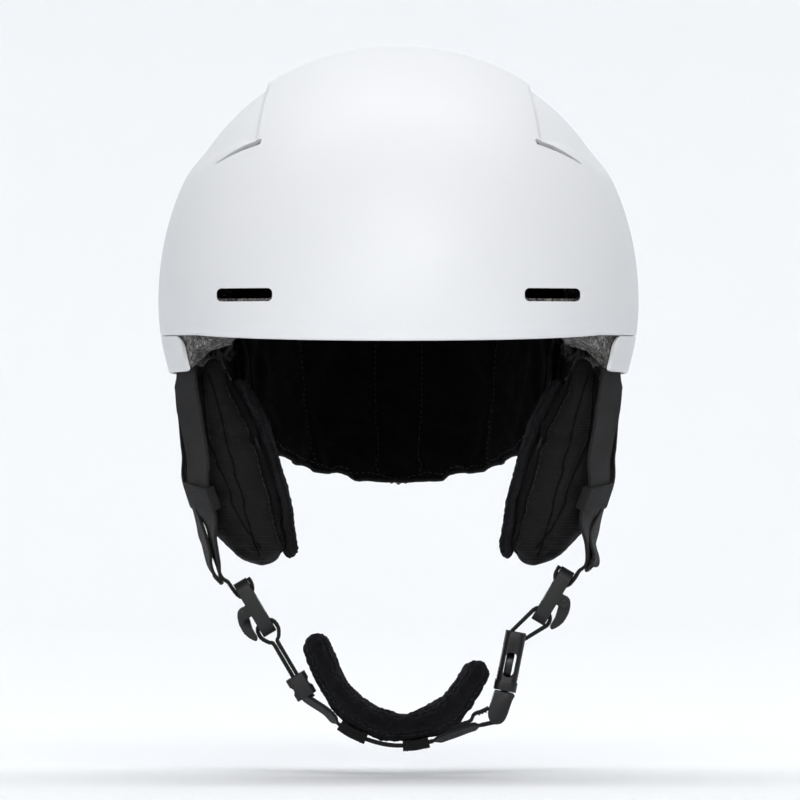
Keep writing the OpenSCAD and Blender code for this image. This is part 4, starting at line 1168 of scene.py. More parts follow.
def quilt(points, polar):
    """the crown lining's face drawn in along its seams, with a slight lumpiness"""
    x, y = points[..., 0], points[..., 1]
    width, length, _ = OPENING
    seam = bell(np.abs(x), CROWN_SEAM_X, 1.6)
    for cx, cy in OPENINGS:
        dx = np.maximum(np.abs(x - cx) - width / 2, 0)
        dy = np.maximum(np.abs(y - cy) - length / 2, 0)
        seam = np.maximum(seam, bell(np.hypot(dx, dy), 4.5, 1.6))
    seam = np.maximum(seam, bell(polar, 78, 1.8))
    out = unit(points - np.array([0, 0, 10.0]))
    lumps = 0.15 * field(points, 11, 2) + 0.10 * field(points, 3.0, 4)
    return points + out * (seam * 1.7)[..., None] + out * lumps[..., None]


def roof_points(tree, places):
    """lowest points of a surface straight above (x, y) places; misses are left out"""
    hits = [tree.ray_cast(Vector((x * MM, y * MM, 0.0)), Vector((0, 0, 1)))[0]
            for x, y in places]
    return np.array([np.array(hit) / MM for hit in hits if hit is not None])


def build_crown():
    """quilted sheet over the cavity roof with six openings"""
    around = np.arange(0, 360, 2.5)
    down = np.concatenate([[4], np.arange(8, 79, 2.0), [CROWN_EDGE]])
    azimuth, polar = np.meshgrid(around, down)
    back = on_dome(CAVITY_SIZE, azimuth, polar, CROWN_BACK)
    face = quilt(on_dome(CAVITY_SIZE, azimuth, polar, CROWN_FACE), polar)[::-1]
    edge = []
    for degrees in (30, 70, 110, 150):
        a = math.radians(degrees)
        inset = CROWN_BACK + (CROWN_FACE - CROWN_BACK) * (1 - math.cos(a)) / 2
        edge.append(on_dome(CAVITY_SIZE, around, CROWN_EDGE + 0.9 * math.sin(a), inset))
    roof = WIDEST_Z + CAVITY_SIZE[3]
    points, faces = lathe(np.concatenate([back, np.array(edge), face]),
                          (0, 0, roof - CROWN_BACK), (0, 0, roof - CROWN_FACE))
    ob = mesh("crown_liner_v", points, faces, LINER, sharp=None)
    for cx, cy in OPENINGS:
        loops = [[(cx + x, cy + y, z) for x, y in rounded_rect(*OPENING)] for z in (40, 130)]
        cut(ob, solid("cutter", *sweep(loops)))
    finish_mesh(ob, LINER, sharp=50)
    tree = surface_tree(ob)
    parts = [ob]
    width, length, radius = OPENING
    for cx, cy in OPENINGS:
        for margin, bound in ((0.6, True), (3.4, False)):
            outline = rounded_rect(width + 2 * margin, length + 2 * margin, radius + margin)
            outline = np.concatenate([outline, outline[:1]])
            path = roof_points(tree, [(cx + x, cy + y) for x, y in outline])
            # an outline that mostly misses the sheet is left without trim
            if len(path) <= 8:
                continue
            if bound:
                path = resample(path, 1.6)[:-1] - np.array([0, 0, 0.1])
                parts.append(tube(path, 0.7, PIPING, 8, closed=True))
            else:
                parts.append(stitch_line(path, tree))
    for x in (-CROWN_SEAM_X, CROWN_SEAM_X):
        path = roof_points(tree, [(x, y) for y in np.linspace(-88, 92, 90)])
        parts.append(stitch_line(path, tree))
    rim = on_dome(CAVITY_SIZE, np.linspace(0, 360, 150, endpoint=False), 80.6, 5.0)
    parts.append(tube(rim, 1.0, PIPING, 8, closed=True))
    ob = join("crown_liner_v", parts)
    finish_mesh(ob, sharp=55)
    place(ob, "helmet", "crown_liner")


build_crown()

# ------------------------------------------------------------------ ear pads
# height z, distance from the middle plane of the pad's outer and inner faces
OUTER_X = [[-105, 64], [-103, 69], [-100, 74], [-94, 80.4], [-87, 87], [-80, 92.4],
           [-73, 95.2], [-64, 97], [-52, 98.4], [-40, 100.6], [-28, 103], [-14, 103]]
INNER_X = [[-105, 62], [-103, 53], [-101, 49.5], [-94, 46.9], [-85, 48.8], [-73, 50.2],
           [-64, 53], [-53, 55.9], [-45, 58.7], [-35, 63], [-20, 70.8], [-14, 75]]
# height z, half the pad's length along y
HALF_LENGTH = [[-105, 9], [-103, 16], [-98, 23], [-86, 31], [-66, 36], [-40, 36.5],
               [-14, 34.5]]
EAR_Y = -6.0
COVER_INSET = 2.0        # cloth inside the outer face
GUSSET = 10.4            # from the inner face to the base of the outer bulge
BULGE_SHARE = 0.4        # where an outline is widest, between its two faces
BOW = 4.0                # how far the ends bend towards the head
# ring heights of the cloth cover and of the plush face
COVER_Z = (-15.2, -16.0, -18, -22, -28, -34, -40, -46, -52, -58, -64, -70, -76, -82, -87,
           -91.5, -95, -98, -100.3, -101.8, -102.6)
PLUSH_Z = (-17.3, -18.2, -20, -25, -31, -37, -43, -49, -55, -61, -67, -73, -79, -84, -88.5,
           -92, -95.0, -97.4, -99.0, -99.8)
# seam lines of the cover: points (z, degrees round the outline), cord radius, cord lift
COVER_SEAMS = (
    ([(-15, 294), (-30, 302), (-44, 311), (-58, 300), (-67, 294), (-80, 290), (-96, 286)],
     0.62, -0.28),
    ([(-15, 271), (-30, 274), (-49, 279), (-62, 276), (-78, 276), (-92, 288), (-100, 300)],
     0.62, -0.28),
    ([(-15, 236), (-40, 234), (-60, 232), (-80, 228), (-92, 222), (-99, 205), (-101, 180),
      (-99, 155), (-92, 138), (-80, 132), (-60, 128), (-40, 126), (-15, 124)], 0.7, -0.2),
    ([(-15, 62), (-40, 60), (-66, 66), (-84, 78), (-96, 86)], 0.6, -0.25))
STITCHED_SEAM = COVER_SEAMS[2][0]


def lens(outer, inner, widest, half, z, degrees, outer_power, inner_power):
    """level outline of a pad at one height"""
    t = np.radians(np.asarray(degrees, float))
    cos, sin = np.cos(t), np.sin(t)
    power = np.where(cos > 0, outer_power, inner_power)
    u = np.sign(cos) * np.abs(cos) ** (2 / power)
    v = np.sign(sin) * np.abs(sin) ** (2 / power)
    x = widest + np.where(cos > 0, outer - widest, widest - inner) * u - BOW * v * v
    return np.stack(np.broadcast_arrays(x, EAR_Y + half * v, z), -1)


def cover_outline(z, degrees, grow):
    outer = along(OUTER_X, z) - COVER_INSET + grow
    base = along(INNER_X, z) + GUSSET - grow
    inner = along(INNER_X, z) + 4.2 - grow
    return lens(outer, inner, base + (outer - base) * BULGE_SHARE,
                along(HALF_LENGTH, z) + grow, z, degrees, 2.1, 3.2)


def plush_outline(z, degrees, grow):
    outer = along(INNER_X, z) + 5.7
    inner = along(INNER_X, z) - grow
    return lens(outer, inner, inner + (outer - inner) * BULGE_SHARE,
                along(HALF_LENGTH, z) - 0.6 + grow, z, degrees, 3.0, 3.0)


def cover_taper(z):
    if z > -18:
        return 1 - 0.10 * ((z + 18) / 2.8) ** 2
    if z < -98:
        return math.sqrt(max(0.04, 1 - ((-98 - z) / 4.8) ** 2))
    return 1.0


def plush_taper(z):
    if z > -20:
        return 1 - 0.16 * ((z + 20) / 2.7) ** 2
    if z < -94:
        return math.sqrt(max(0.05, 1 - ((-94 - z) / 6.0) ** 2))
    return 1.0


def ear_body(name, side, outline, heights, count, grow, taper, mat):
    """rings of an outline, drawn in towards both ends"""
    degrees = np.linspace(0, 360, count, endpoint=False)
    rings = []
    for z in heights:
        ring = outline(z, degrees, grow)
        middle = ring.mean(0)
        rings.append(middle + (ring - middle) * np.array([taper(z), taper(z), 1]))
    rings = mirror_x(rings, side)
    points, faces = lathe(rings, rings[0].mean(0) + [0, 0, 0.2], rings[-1].mean(0) - [0, 0, 0.2])
    return pad_mesh(name, points, faces, mat)


def cover_relief(co, side, seam_distance):
    """height of seams, creases, bulges and wrinkles on the cover"""
    z = co[:, 2]
    near = bell(seam_distance, 0, 1.7)
    x = co[:, 0] * side
    front = ease((-20 - co[:, 1]) / 12) * ease((86 - x) / 4)
    crease_z = -45.5 + 2.2 * np.sin((x - 66) / 6.0)
    crease = bell(z, crease_z, 1.5) * front
    bulge = (bell(z, crease_z + 5, 3.2) + bell(z, crease_z - 5, 3.2)) * front
    low_crease = bell(z, -74 + 0.22 * (x - 70), 1.3) * front * 0.45
    wrinkle = (field(co * np.array([1, 1, 1.9]), 26, 1) * 0.45
               + field(co * np.array([1, 1, 2.4]), 11, 5) * 0.22)
    pucker = (bell(seam_distance, 2.4, 2.2) * 0.32
              * np.sin(z * TURN_SHORT / 4.6 + 2.0 * field(co, 18, 2)))
    shoulder = bell(seam_distance, 3.6, 2.2)
    height = (-1.7 * near + 0.35 * shoulder - 1.9 * crease + 0.75 * bulge - 1.0 * low_crease
              + wrinkle * (1 - near) + pucker * (1 - near))
    return height * ease((-15.5 - z) / 3)


def build_ear_cover(side, side_name):
    """padded cloth body of an ear pad, with corded seams whose cords carry painted shade of the
    seam grooves
    """
    name = "ear_cover_" + side_name
    ob = ear_body(name, side, cover_outline, COVER_Z, 72, -2.3, cover_taper, COVER)
    seams = [mirror_x([cover_outline(z, t, -1.2) for z, t in curve(points, 12)], side)
             for points, _, _ in COVER_SEAMS]
    seam_tree = point_tree(np.concatenate(seams))

    def hold(points):
        weight = bell(distances_to(seam_tree, points), 0, 3.2)
        return np.maximum(weight, (points[:, 2] > -17.5) * 1.0)

    puff(ob, voxel=3.6, cap=2.6, hold=hold)
    co, normal = surface(ob)
    height = cover_relief(co, side, distances_to(seam_tree, co))
    co = co + normal * height[:, None]
    co[:, 2] = np.minimum(co[:, 2], -14.9)
    # the front of the pad reaches up inside the helmet
    x = co[:, 0] * side
    up = ease((co[:, 2] + 24) / 9) * ease((-29 - co[:, 1]) / 9) * ease((99.5 - x) / 6)
    co[:, 2] += 8.2 * up + 3.2 * up * ease((91 - x) / 5)
    set_coords(ob.data, co * MM)
    subdivide(ob)
    # fine ridges of the weave
    co, normal = surface(ob)
    rib = 0.055 * np.sin(co[:, 2] * TURN_SHORT / 2.3)
    co = co + normal * (rib + 0.05 * field(co, 2.2, 6))[:, None]
    set_coords(ob.data, co * MM)
    finish_mesh(ob, COVER)
    tree = surface_tree(ob)
    parts = [ob]
    # the cords use the darker cord material, painted shade of the seam grooves
    for seam, (_, radius, lift) in zip(seams, COVER_SEAMS):
        path = snap(resample(seam, 2.0), tree, lift)
        path[1:-1] = (path[:-2] + 2 * path[1:-1] + path[2:]) / 4
        parts.append(tube(resample(path, 1.0), radius, SEAM_CORD_GROOVE_SHADE, 8, wobble=0.03))
    # stitches 3.4 mm beside the long seam, on a radius of about 36 mm
    offset = math.degrees(3.4 / 36.0)
    path = [cover_outline(z, t + offset, -1.0) for z, t in curve(STITCHED_SEAM, 12)]
    parts.append(stitch_line(mirror_x(path, side)[3:-3], tree, 3.0, 2.0, 0.2))
    ob = join(name, parts)
    finish_mesh(ob)
    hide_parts("ear_pad_cover_" + side_name)
    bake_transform(ob)


def build_ear_plush(side, side_name):
    """pile panel on the head side of an ear pad"""
    ob = ear_body("ear_plush_" + side_name, side, plush_outline, PLUSH_Z, 60, -0.9,
                  plush_taper, PLUSH)

    def hold(points):
        x, z = points[:, 0] * side, points[:, 2]
        return np.maximum(((x - (along(INNER_X, z) + 4.2)) > -1.0) * 1.0, (z > -19) * 0.8)

    puff(ob, voxel=1.2, cap=1.2, hold=hold)
    co, normal = surface(ob)
    dish = np.exp(-(((co[:, 1] - EAR_Y) / 17) ** 2 + ((co[:, 2] + 56) / 21) ** 2))
    face = ease(((along(INNER_X, co[:, 2]) + 3.5) - co[:, 0] * side) / 2.5)
    height = (-0.7 * dish * face + 0.30 * field(co, 7.5, 2) + 0.24 * field(co, 3.1, 4)
              + 0.16 * field(co, 1.7, 7))
    co = co + normal * (height * ease((-16.9 - co[:, 2]) / 1.5))[:, None]
    co[:, 2] = np.minimum(co[:, 2], -16.8)
    set_coords(ob.data, co * MM)
    finish_mesh(ob, PLUSH)
    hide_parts("ear_pad_plush_" + side_name)
    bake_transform(ob)


for side, side_name in SIDES:
    build_ear_cover(side, side_name)
    build_ear_plush(side, side_name)

# ------------------------------------------------------------------ webbing
# A band is (mid, across, face): its middle line, its width direction and its face normal.
STRAP_Y = -20.0
WEB_WIDTH, WEB_THICK = 20.0, 1.5
# divider centres in the upright (x, z) plane, both given for the +X side
DIVIDER_LEFT, DIVIDER_RIGHT = np.array([66.2, -122.4]), np.array([71.2, -117.0])
DIVIDERS = ((-1, "left", DIVIDER_LEFT), (1, "right", DIVIDER_RIGHT))
DIVIDER_TILT = 30.5
TILT_COS = math.cos(math.radians(DIVIDER_TILT))
TILT_SIN = math.sin(math.radians(DIVIDER_TILT))
# (y, z) stations of the straps over the ear pads
FRONT_OVER_EAR = [[-35, -15.5], [-35, -26], [-34.5, -40], [-33.5, -54], [-31, -66]]
REAR_OVER_EAR = [[23, -16.6], [21.5, -26], [18, -40], [12, -54], [4, -66]]
# (x, z) stations of the front strap round the divider's top bar, in the divider's frame
FRONT_AT_DIVIDER = [(4.7, 16), (4.4, 11.5), (3.6, 8.1), (1.6, 6.3), (-1.6, 6.3), (-3.6, 8.1),
                    (-4.4, 11), (-4.2, 13.4)]


def divider_point(divider, x, z):
    return np.array([divider[0] + x * TILT_COS + z * TILT_SIN,
                     divider[1] - x * TILT_SIN + z * TILT_COS])


def in_space(point, y=STRAP_Y):
    return [point[0], y, point[1]]


def ear_face_x(y, z):
    """outer face of the ear pad"""
    t = np.minimum(0.999, np.abs(y - EAR_Y) / along(HALF_LENGTH, z))
    outer = along(OUTER_X, z) - COVER_INSET
    base = along(INNER_X, z) + GUSSET
    middle = base + (outer - base) * BULGE_SHARE
    return middle + (outer - middle) * (1 - t ** 2.1) ** (1 / 2.1) - BOW * t * t


def strap_band(over_ear, lift, tail, steps, head, turn=1.0):
    """band that lies on the ear pad and then runs down its tail to the divider"""
    stations = [head] if head else []
    for y, z in over_ear:
        x = float(ear_face_x(y, z)) + lift * (0.8 if z > -20 else 1) + WEB_THICK / 2
        stations.append([x, y, z])
    mid = curve(stations + tail, steps)
    direction = tangents(mid)
    y, z = mid[:, 1], mid[:, 2]
    slope = (turn * (ear_face_x(y + 7, z) - ear_face_x(y - 7, z)) / 14
             * (1 - ease((-74 - z) / 16))
             + 0.14 * ease((-76 - z) / 10) * (1 - ease((-99 - z) / 8)))
    across = np.stack([slope, np.ones(len(mid)), np.zeros(len(mid))], 1)
    across = unit(across - direction * np.sum(across * direction, 1, keepdims=True))
    return mid, across, unit(np.cross(direction, across))


def front_band(divider, steps, head=None):
    tail = [[87.2, -27.5, -82], in_space(divider_point(divider, 5.8, 23), STRAP_Y - 1)]
    tail += [in_space(divider_point(divider, x, z)) for x, z in FRONT_AT_DIVIDER]
    return strap_band(FRONT_OVER_EAR, 3.4, tail, steps, head, turn=0.72)


def rear_band(divider, steps, head):
    tail = [[94.0, -5.5, -79], [90.0, -14, -90]]
    tail += [in_space(divider_point(divider, x, z)) for x, z in ((8.1, 24), (7.4, 18))]
    return strap_band(REAR_OVER_EAR, 2.6, tail, steps, head)


def upright_band(points, closed=False):
    """band along (x, z) points at the straps' y"""
    points = np.asarray(points, float)
    mid = np.stack([points[:, 0], np.full(len(points), STRAP_Y), points[:, 1]], 1)
    across = np.broadcast_to([0.0, 1.0, 0.0], mid.shape).copy()
    return mid, across, unit(np.cross(tangents(mid, closed), across))


def web(name, band, side=1, seed=0, closed=False, slack=0.12):
    """woven strap along a band, with herringbone ribs and a slight sway"""
    if closed:
        band = [np.concatenate([v, v[:1]]) for v in band]
    distances = lengths(band[0])
    count = int(distances[-1] / 0.55)
    q = np.linspace(0, distances[-1], count, endpoint=not closed)
    mid, across, face = (sample(q, distances, v) for v in band)
    across, face = unit(across), unit(face)
    half = WEB_WIDTH / 2
    u = np.linspace(-1, 1, 27)
    top = WEB_THICK / 2 * (1 - 0.55 * ease((np.abs(u) - 0.93) / 0.07))
    xs = np.concatenate([u * half, u[::-1] * half])
    ys = np.concatenate([top, -top[::-1]])
    lengthwise = q[:, None]
    zigzag = np.abs(((xs[None, :] / 2.5) % 2) - 1) * 2.5
    rib = 0.045 * np.sin((lengthwise + zigzag * 0.9) * TURN / 1.65)
    edge_ridge = (0.10 * ease((np.abs(xs) - half * 0.84) / (half * 0.03))
                  * (1 - ease((np.abs(xs) - half * 0.95) / (half * 0.04))))
    height = ys[None, :] + np.sign(ys)[None, :] * (rib + edge_ridge[None, :] - 0.07)
    sway = (slack * np.sin(lengthwise * 0.11 + seed) * (1 - (xs[None, :] / half) ** 2)
            + slack * 0.5 * np.sin(lengthwise * 0.23 + xs[None, :] * 0.2 + seed * 2))
    if not closed:
        sway = sway * (ease(lengthwise / 6) * ease((q[-1] - lengthwise) / 6))
    loops = (mid[:, None, :] + across[:, None, :] * xs[None, :, None]
             + face[:, None, :] * (height + sway)[..., None])
    points, faces = sweep(loops, closed)
    size = (len(q), len(xs))
    fab = np.stack([np.broadcast_to(xs[None, :], size), np.broadcast_to(lengthwise, size)], -1)
    return mesh(name, mirror_x(points, side), faces, WEBBING, fab=fab.reshape(-1, 2), sharp=60)


def bartack(band, index, side=1, rows=3, lift=0.9):
    """rows of close zigzag stitches across a band"""
    mid, across, face = (v[index] for v in band)
    direction = unit(np.cross(across, face))
    count = 44
    x = np.linspace(-7.5, 7.5, count)
    zigzag = (np.arange(count) % 2) * 0.5 - 0.25
    out = []
    for row in range(rows):
        origin = mid + direction * (row - (rows - 1) / 2) * 1.6 + face * lift
        path = origin + across * x[:, None] + direction * zigzag[:, None]
        out.append(tube(mirror_x(path, side), 0.2, THREAD, 5))
    return out


def cross_stitches(band, index, lift, tree, side=1):
    """one row of stitches across a band"""
    mid, across, face = (v[index] for v in band)
    path = mid + across * np.linspace(-11.2, 11.2, 24)[:, None] + face * lift
    return stitch_line(mirror_x(path, side), tree, 2.4, 1.6, 0.16)


def hollow_loops(band, outer, inner, swell, lift=0.0):
    """sections of a cloth tube round a band; swell is given per outline point and station"""
    mid, across, face = band
    loops = []
    for j, (x, y) in enumerate(outer):
        outside = mid + across * x + face * (y + lift)
        outside = outside + unit(outside - mid) * swell[j][:, None]
        inside = mid + across * inner[j][0] + face * inner[j][1]
        loops.append(np.concatenate([outside, inside[::-1]]))
    return np.array(loops)


def build_keeper(side, side_name):
    """folded cloth loop round the front strap"""
    band = [v[48:57] for v in front_band(DIVIDER_RIGHT, 12)]
    outer = rounded_rect(24.4, 4.6, 1.6, 5)
    inner = rounded_rect(22.0, 2.5, 0.9, 5)
    count = len(band[0])
    k = np.arange(count)
    # the long edges are rolled
    hem = 0.28 * bell(k, 0.6, 0.7) + 0.28 * bell(k, count - 1.6, 0.7)
    loops = hollow_loops(band, outer, inner, [hem] * len(outer), lift=0.1)
    points, faces = sweep(loops, closed=True)
    fab = np.stack([np.repeat(np.arange(len(outer)), 2 * count) * 1.6,
                    np.tile(np.concatenate([k, k[::-1]]) * 1.2, len(outer))], 1)
    name = "strap_keeper_v_" + side_name
    ob = mesh(name, mirror_x(points, side), faces, PIPING, fab=fab, sharp=50)
    tree = surface_tree(ob)
    stitches = [cross_stitches(band, i, 3.0, tree, side) for i in (1, count - 2)]
    ob = join(name, [ob] + stitches)
    finish_mesh(ob, sharp=50)
    place(ob, "helmet", "strap_keeper_" + side_name)


for side, side_name, divider in DIVIDERS:
    band = front_band(divider, 10, head=[97.0, -35.0, -10.2])
    ob = web("front_strap_v_" + side_name, band, side, seed=1 + side)
    place(ob, "helmet", "front_strap_" + side_name)
    band = rear_band(divider, 10, head=[96.3, 23.4, -10.2])
    ob = web("rear_strap_v_" + side_name, band, side, seed=2 + side)
    ob = join("rear_strap_v_" + side_name, [ob] + bartack(band, len(band[0]) - 6, side))
    finish_mesh(ob, sharp=60)
    place(ob, "helmet", "rear_strap_" + side_name)
    build_keeper(side, side_name)


# ------------------------------------------------------------------ hard parts
def rounded(node, body, mat, slot, radius, segments, angle=32, extra=()):
    """a copy of a CAD solid with edges over `angle` degrees rounded off"""
    name = node + "_v"
    me = NODES[node].data.copy()
    ob = link(name, me)
    bm = bmesh.new()
    bm.from_mesh(me)
    bmesh.ops.remove_doubles(bm, verts=bm.verts, dist=1e-6)
    bmesh.ops.dissolve_limit(bm, angle_limit=math.radians(1.2), verts=bm.verts, edges=bm.edges)
    bm.to_mesh(me)
    bm.free()
    mod = ob.modifiers.new("round", "BEVEL")
    mod.width = radius * MM
    mod.segments = segments
    mod.limit_method = "ANGLE"
    mod.angle_limit = math.radians(angle)
    mod.use_clamp_overlap = True
    mod.miter_outer = "MITER_ARC"
    apply_modifiers(ob)
    finish_mesh(ob, mat, sharp=30)
    if extra:
        ob = join(name, [ob, *extra])
        finish_mesh(ob, sharp=30)
    place(ob, body, node)


def dress(node, mat):
    """the CAD solid itself, given a material"""
    me = NODES[node].data
    me.materials.clear()
    me.materials.append(mat)
    me.polygons.foreach_set("use_smooth", [True] * len(me.polygons))
    me.set_sharp_from_angle(angle=math.radians(30))


def lever_ridges(divider, side):
    """four grip ridges on the divider's lever"""
    turn = Matrix.Rotation(math.radians(DIVIDER_TILT), 4, "Y")
    matrix = Matrix.Translation(Vector((divider[0], STRAP_Y, divider[1]))) @ turn
    if side < 0:
        matrix = Matrix.Scale(-1, 4, Vector((1, 0, 0))) @ matrix
    matrix = np.array(matrix)
    out = []
    for k in range(4):
        path = np.array([[10.15 - 0.05 * abs(k - 2), y, -3.4 - k * 1.5]
                         for y in np.linspace(-8.2, 8.2, 14)])
        path = path @ matrix[:3, :3].T + matrix[:3, 3]
        out.append(tube(path, 0.32, ACETAL, 8))
    return out


for side, side_name, divider in DIVIDERS:
    rounded("divider_body_" + side_name, "helmet", NYLON, "nylon", radius=1.3, segments=4)
    rounded("divider_lever_" + side_name, "lever_" + side_name, ACETAL, "hardware_black",
            radius=0.8, segments=4, extra=lever_ridges(divider, side))
rounded("divider_pins", "helmet", NYLON, "nylon", radius=0.15, segments=2)


# ------------------------------------------------------------------ lower straps and chin
def left_point(x, z):
    """(x, z) point in the left divider's frame, on its own side"""
    x, z = divider_point(DIVIDER_LEFT, x, z)
    return np.array([-x, z])


def leg(x, down):
    """point of the strap legs under the left divider"""
    return left_point(x, -20 - down)


BUCKLE = np.array([48.9, -160.6])      # buckle centre, (x, z)
LEFT_END = leg(0, 0)
BUCKLE_ANGLE = -math.atan2(BUCKLE[1] - LEFT_END[1], BUCKLE[0] - LEFT_END[0])
TONGUE_BAR = (-1, -12)                 # (x, z) in the buckle's frame
TONGUE_LOOP = 3.05

# strap loop over the left divider's lower bar, (x, z) in the divider's frame
LEFT_LOOP = [(-1.15, -18.6), (-2.6, -17.2), (-4.6, -13.6), (-4.3, -9.8), (-2.2, -7.7),
             (0, -7.1), (2.2, -7.7), (4.3, -9.8), (4.6, -13.6), (2.6, -17.2), (1.15, -18.6)]
# (x, z) stations of the strap under the chin
CHIN_RUN = [[-33.2, -170.4], [-27, -176.6], [-15, -183], [-2, -186], [12, -184.9],
            [24, -181.2], [33, -177.9], [40, -176.2]]


def buckle_point(x, z):
    cos, sin = math.cos(BUCKLE_ANGLE), math.sin(BUCKLE_ANGLE)
    return np.array([BUCKLE[0] + x * cos + z * sin, BUCKLE[1] - x * sin + z * cos])


def belt_path(a, a_radius, b, b_radius, steps=16):
    """closed path round two circles"""
    reach = b - a
    heading = math.atan2(reach[1], reach[0])
    split = math.acos((a_radius - b_radius) / np.linalg.norm(reach))
    out = []
    for k in range(steps + 1):
        t = heading + split + (2 * math.pi - 2 * split) * k / steps
        out.append(a + a_radius * np.array([math.cos(t), math.sin(t)]))
    for k in range(steps + 1):
        t = heading - split + (2 * split) * k / steps
        out.append(b + b_radius * np.array([math.cos(t), math.sin(t)]))
    return np.array(out)


def lean(band, amount, stretches):
    """turn a band a little about its own length within (x0, z0, x1, z1) stretches"""
    mid, across, face = band
    share = np.zeros(len(mid))
    for x0, z0, x1, z1 in stretches:
        half = math.hypot(x1 - x0, z1 - z0) / 2
        distance = np.hypot(mid[:, 0] - (x0 + x1) / 2, mid[:, 2] - (z0 + z1) / 2)
        share = np.maximum(share, ease((half + 2.0 - distance) / 3.0))
    out = mid - np.array([0, STRAP_Y, -100.0])
    sign = np.sign(np.sum(face * out, axis=1))[:, None]
    turned = unit(across + face * sign * (amount * share)[:, None])
    return mid, turned, unit(np.cross(unit(np.cross(across, face)), turned))


def build_lower_right():
    """closed strap loop between the right divider and the buckle"""
    path = belt_path(divider_point(DIVIDER_RIGHT, 0, -11.8), 4.7, buckle_point(0, 25), 3.1)
    ob = web("lower_strap_right_v", upright_band(path, closed=True), closed=True, seed=3,
             slack=0.05)
    place(ob, "helmet", "lower_strap_right")


def build_chin_strap():
    """one length: left divider loop, two legs, chin run and loop round the tongue bar"""
    path = [leg(-1.05, t) for t in (29, 22, 14, 6)]
    path += [left_point(x, z) for x, z in LEFT_LOOP]
    path += [leg(1.05, t) for t in (4, 8, 18, 27)] + CHIN_RUN
    for degrees in range(-88, 89, 22):
        t = math.radians(degrees)
        path.append(buckle_point(TONGUE_BAR[0] + TONGUE_LOOP * math.cos(t),
                                 TONGUE_BAR[1] + TONGUE_LOOP * math.sin(t)))
    path.append(buckle_point(-4.4, -8.9))
    stretches = [(*leg(0, 25.5), -29.0, -174.6), (18, -183.4, 36, -177.2)]
    band = lean(upright_band(curve(path, 7)), 0.17, stretches)
    ob = web("chin_strap_v", band, seed=4, slack=0.05)
    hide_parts("chin_strap", "lower_strap_left")
    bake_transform(ob)


def build_chin_tail():
    """loose tail of the chin strap, tacked at two places"""
    path = [buckle_point(-5.5, -9.3), buckle_point(-8.4, -11.6), buckle_point(-11.6, -13.6),
            [33.2, -174.6], [28, -176.5], [22.5, -178.4]]
    band = upright_band(curve(path, 8))
    ob = web("chin_tail_v", band, seed=5, slack=0.25)
    tacks = (bartack(band, 8, rows=3, lift=0.95)
             + bartack(band, len(band[0]) - 6, rows=2, lift=0.95))
    ob = join("chin_tail_v", [ob] + tacks)
    finish_mesh(ob, sharp=60)
    place(ob, "chin", "chin_strap_tail")


build_lower_right()
build_chin_strap()
build_chin_tail()

# (x, z) stations of the chin pad's middle line
CHIN_PAD = [[-39.2, -134.6], [-35, -145], [-30.4, -155], [-23, -164.6], [-12, -172.6],
            [1, -175.8], [14, -173.8], [24.3, -167.4], [32, -158], [38.2, -147.2]]
PAD_SPACING = 1.5
PAD_SEAM = 13.4          # seams this far either side of the middle line
PAD_DOWN = (4.6, 8.3)    # least and most depth below the middle line
# (x, z) middles of the two cloth sleeves
SLEEVE_MIDDLES = ((-21, -180.2), (8, -185.7))


def pad_depths(mid, face):
    """depth of the chin pad below its middle line, fitted over the strap and sleeves"""
    run = resample(curve(CHIN_RUN, 8), 0.5)
    down = np.zeros(len(mid))
    for i in range(len(mid)):
        to_run = run - mid[i, [0, 2]]
        below = -(to_run[:, 0] * face[i, 0] + to_run[:, 1] * face[i, 2])
        beside = np.abs(to_run[:, 0] * face[i, 2] - to_run[:, 1] * face[i, 0])
        j = int(np.argmin(beside))
        gap = below[j] if beside[j] < 1.5 else 8.5
        to_sleeve = min(math.hypot(run[j, 0] - x, run[j, 1] - z) for x, z in SLEEVE_MIDDLES)
        down[i] = min(PAD_DOWN[1], gap - (3.6 if to_sleeve < 9.5 else 2.1))
    down = np.clip(down, *PAD_DOWN)
    for _ in range(6):
        down[1:-1] = (down[:-2] + 2 * down[1:-1] + down[2:]) / 4
    return down


def signed_power(value, power):
    return np.sign(value) * np.abs(value) ** (2 / power)


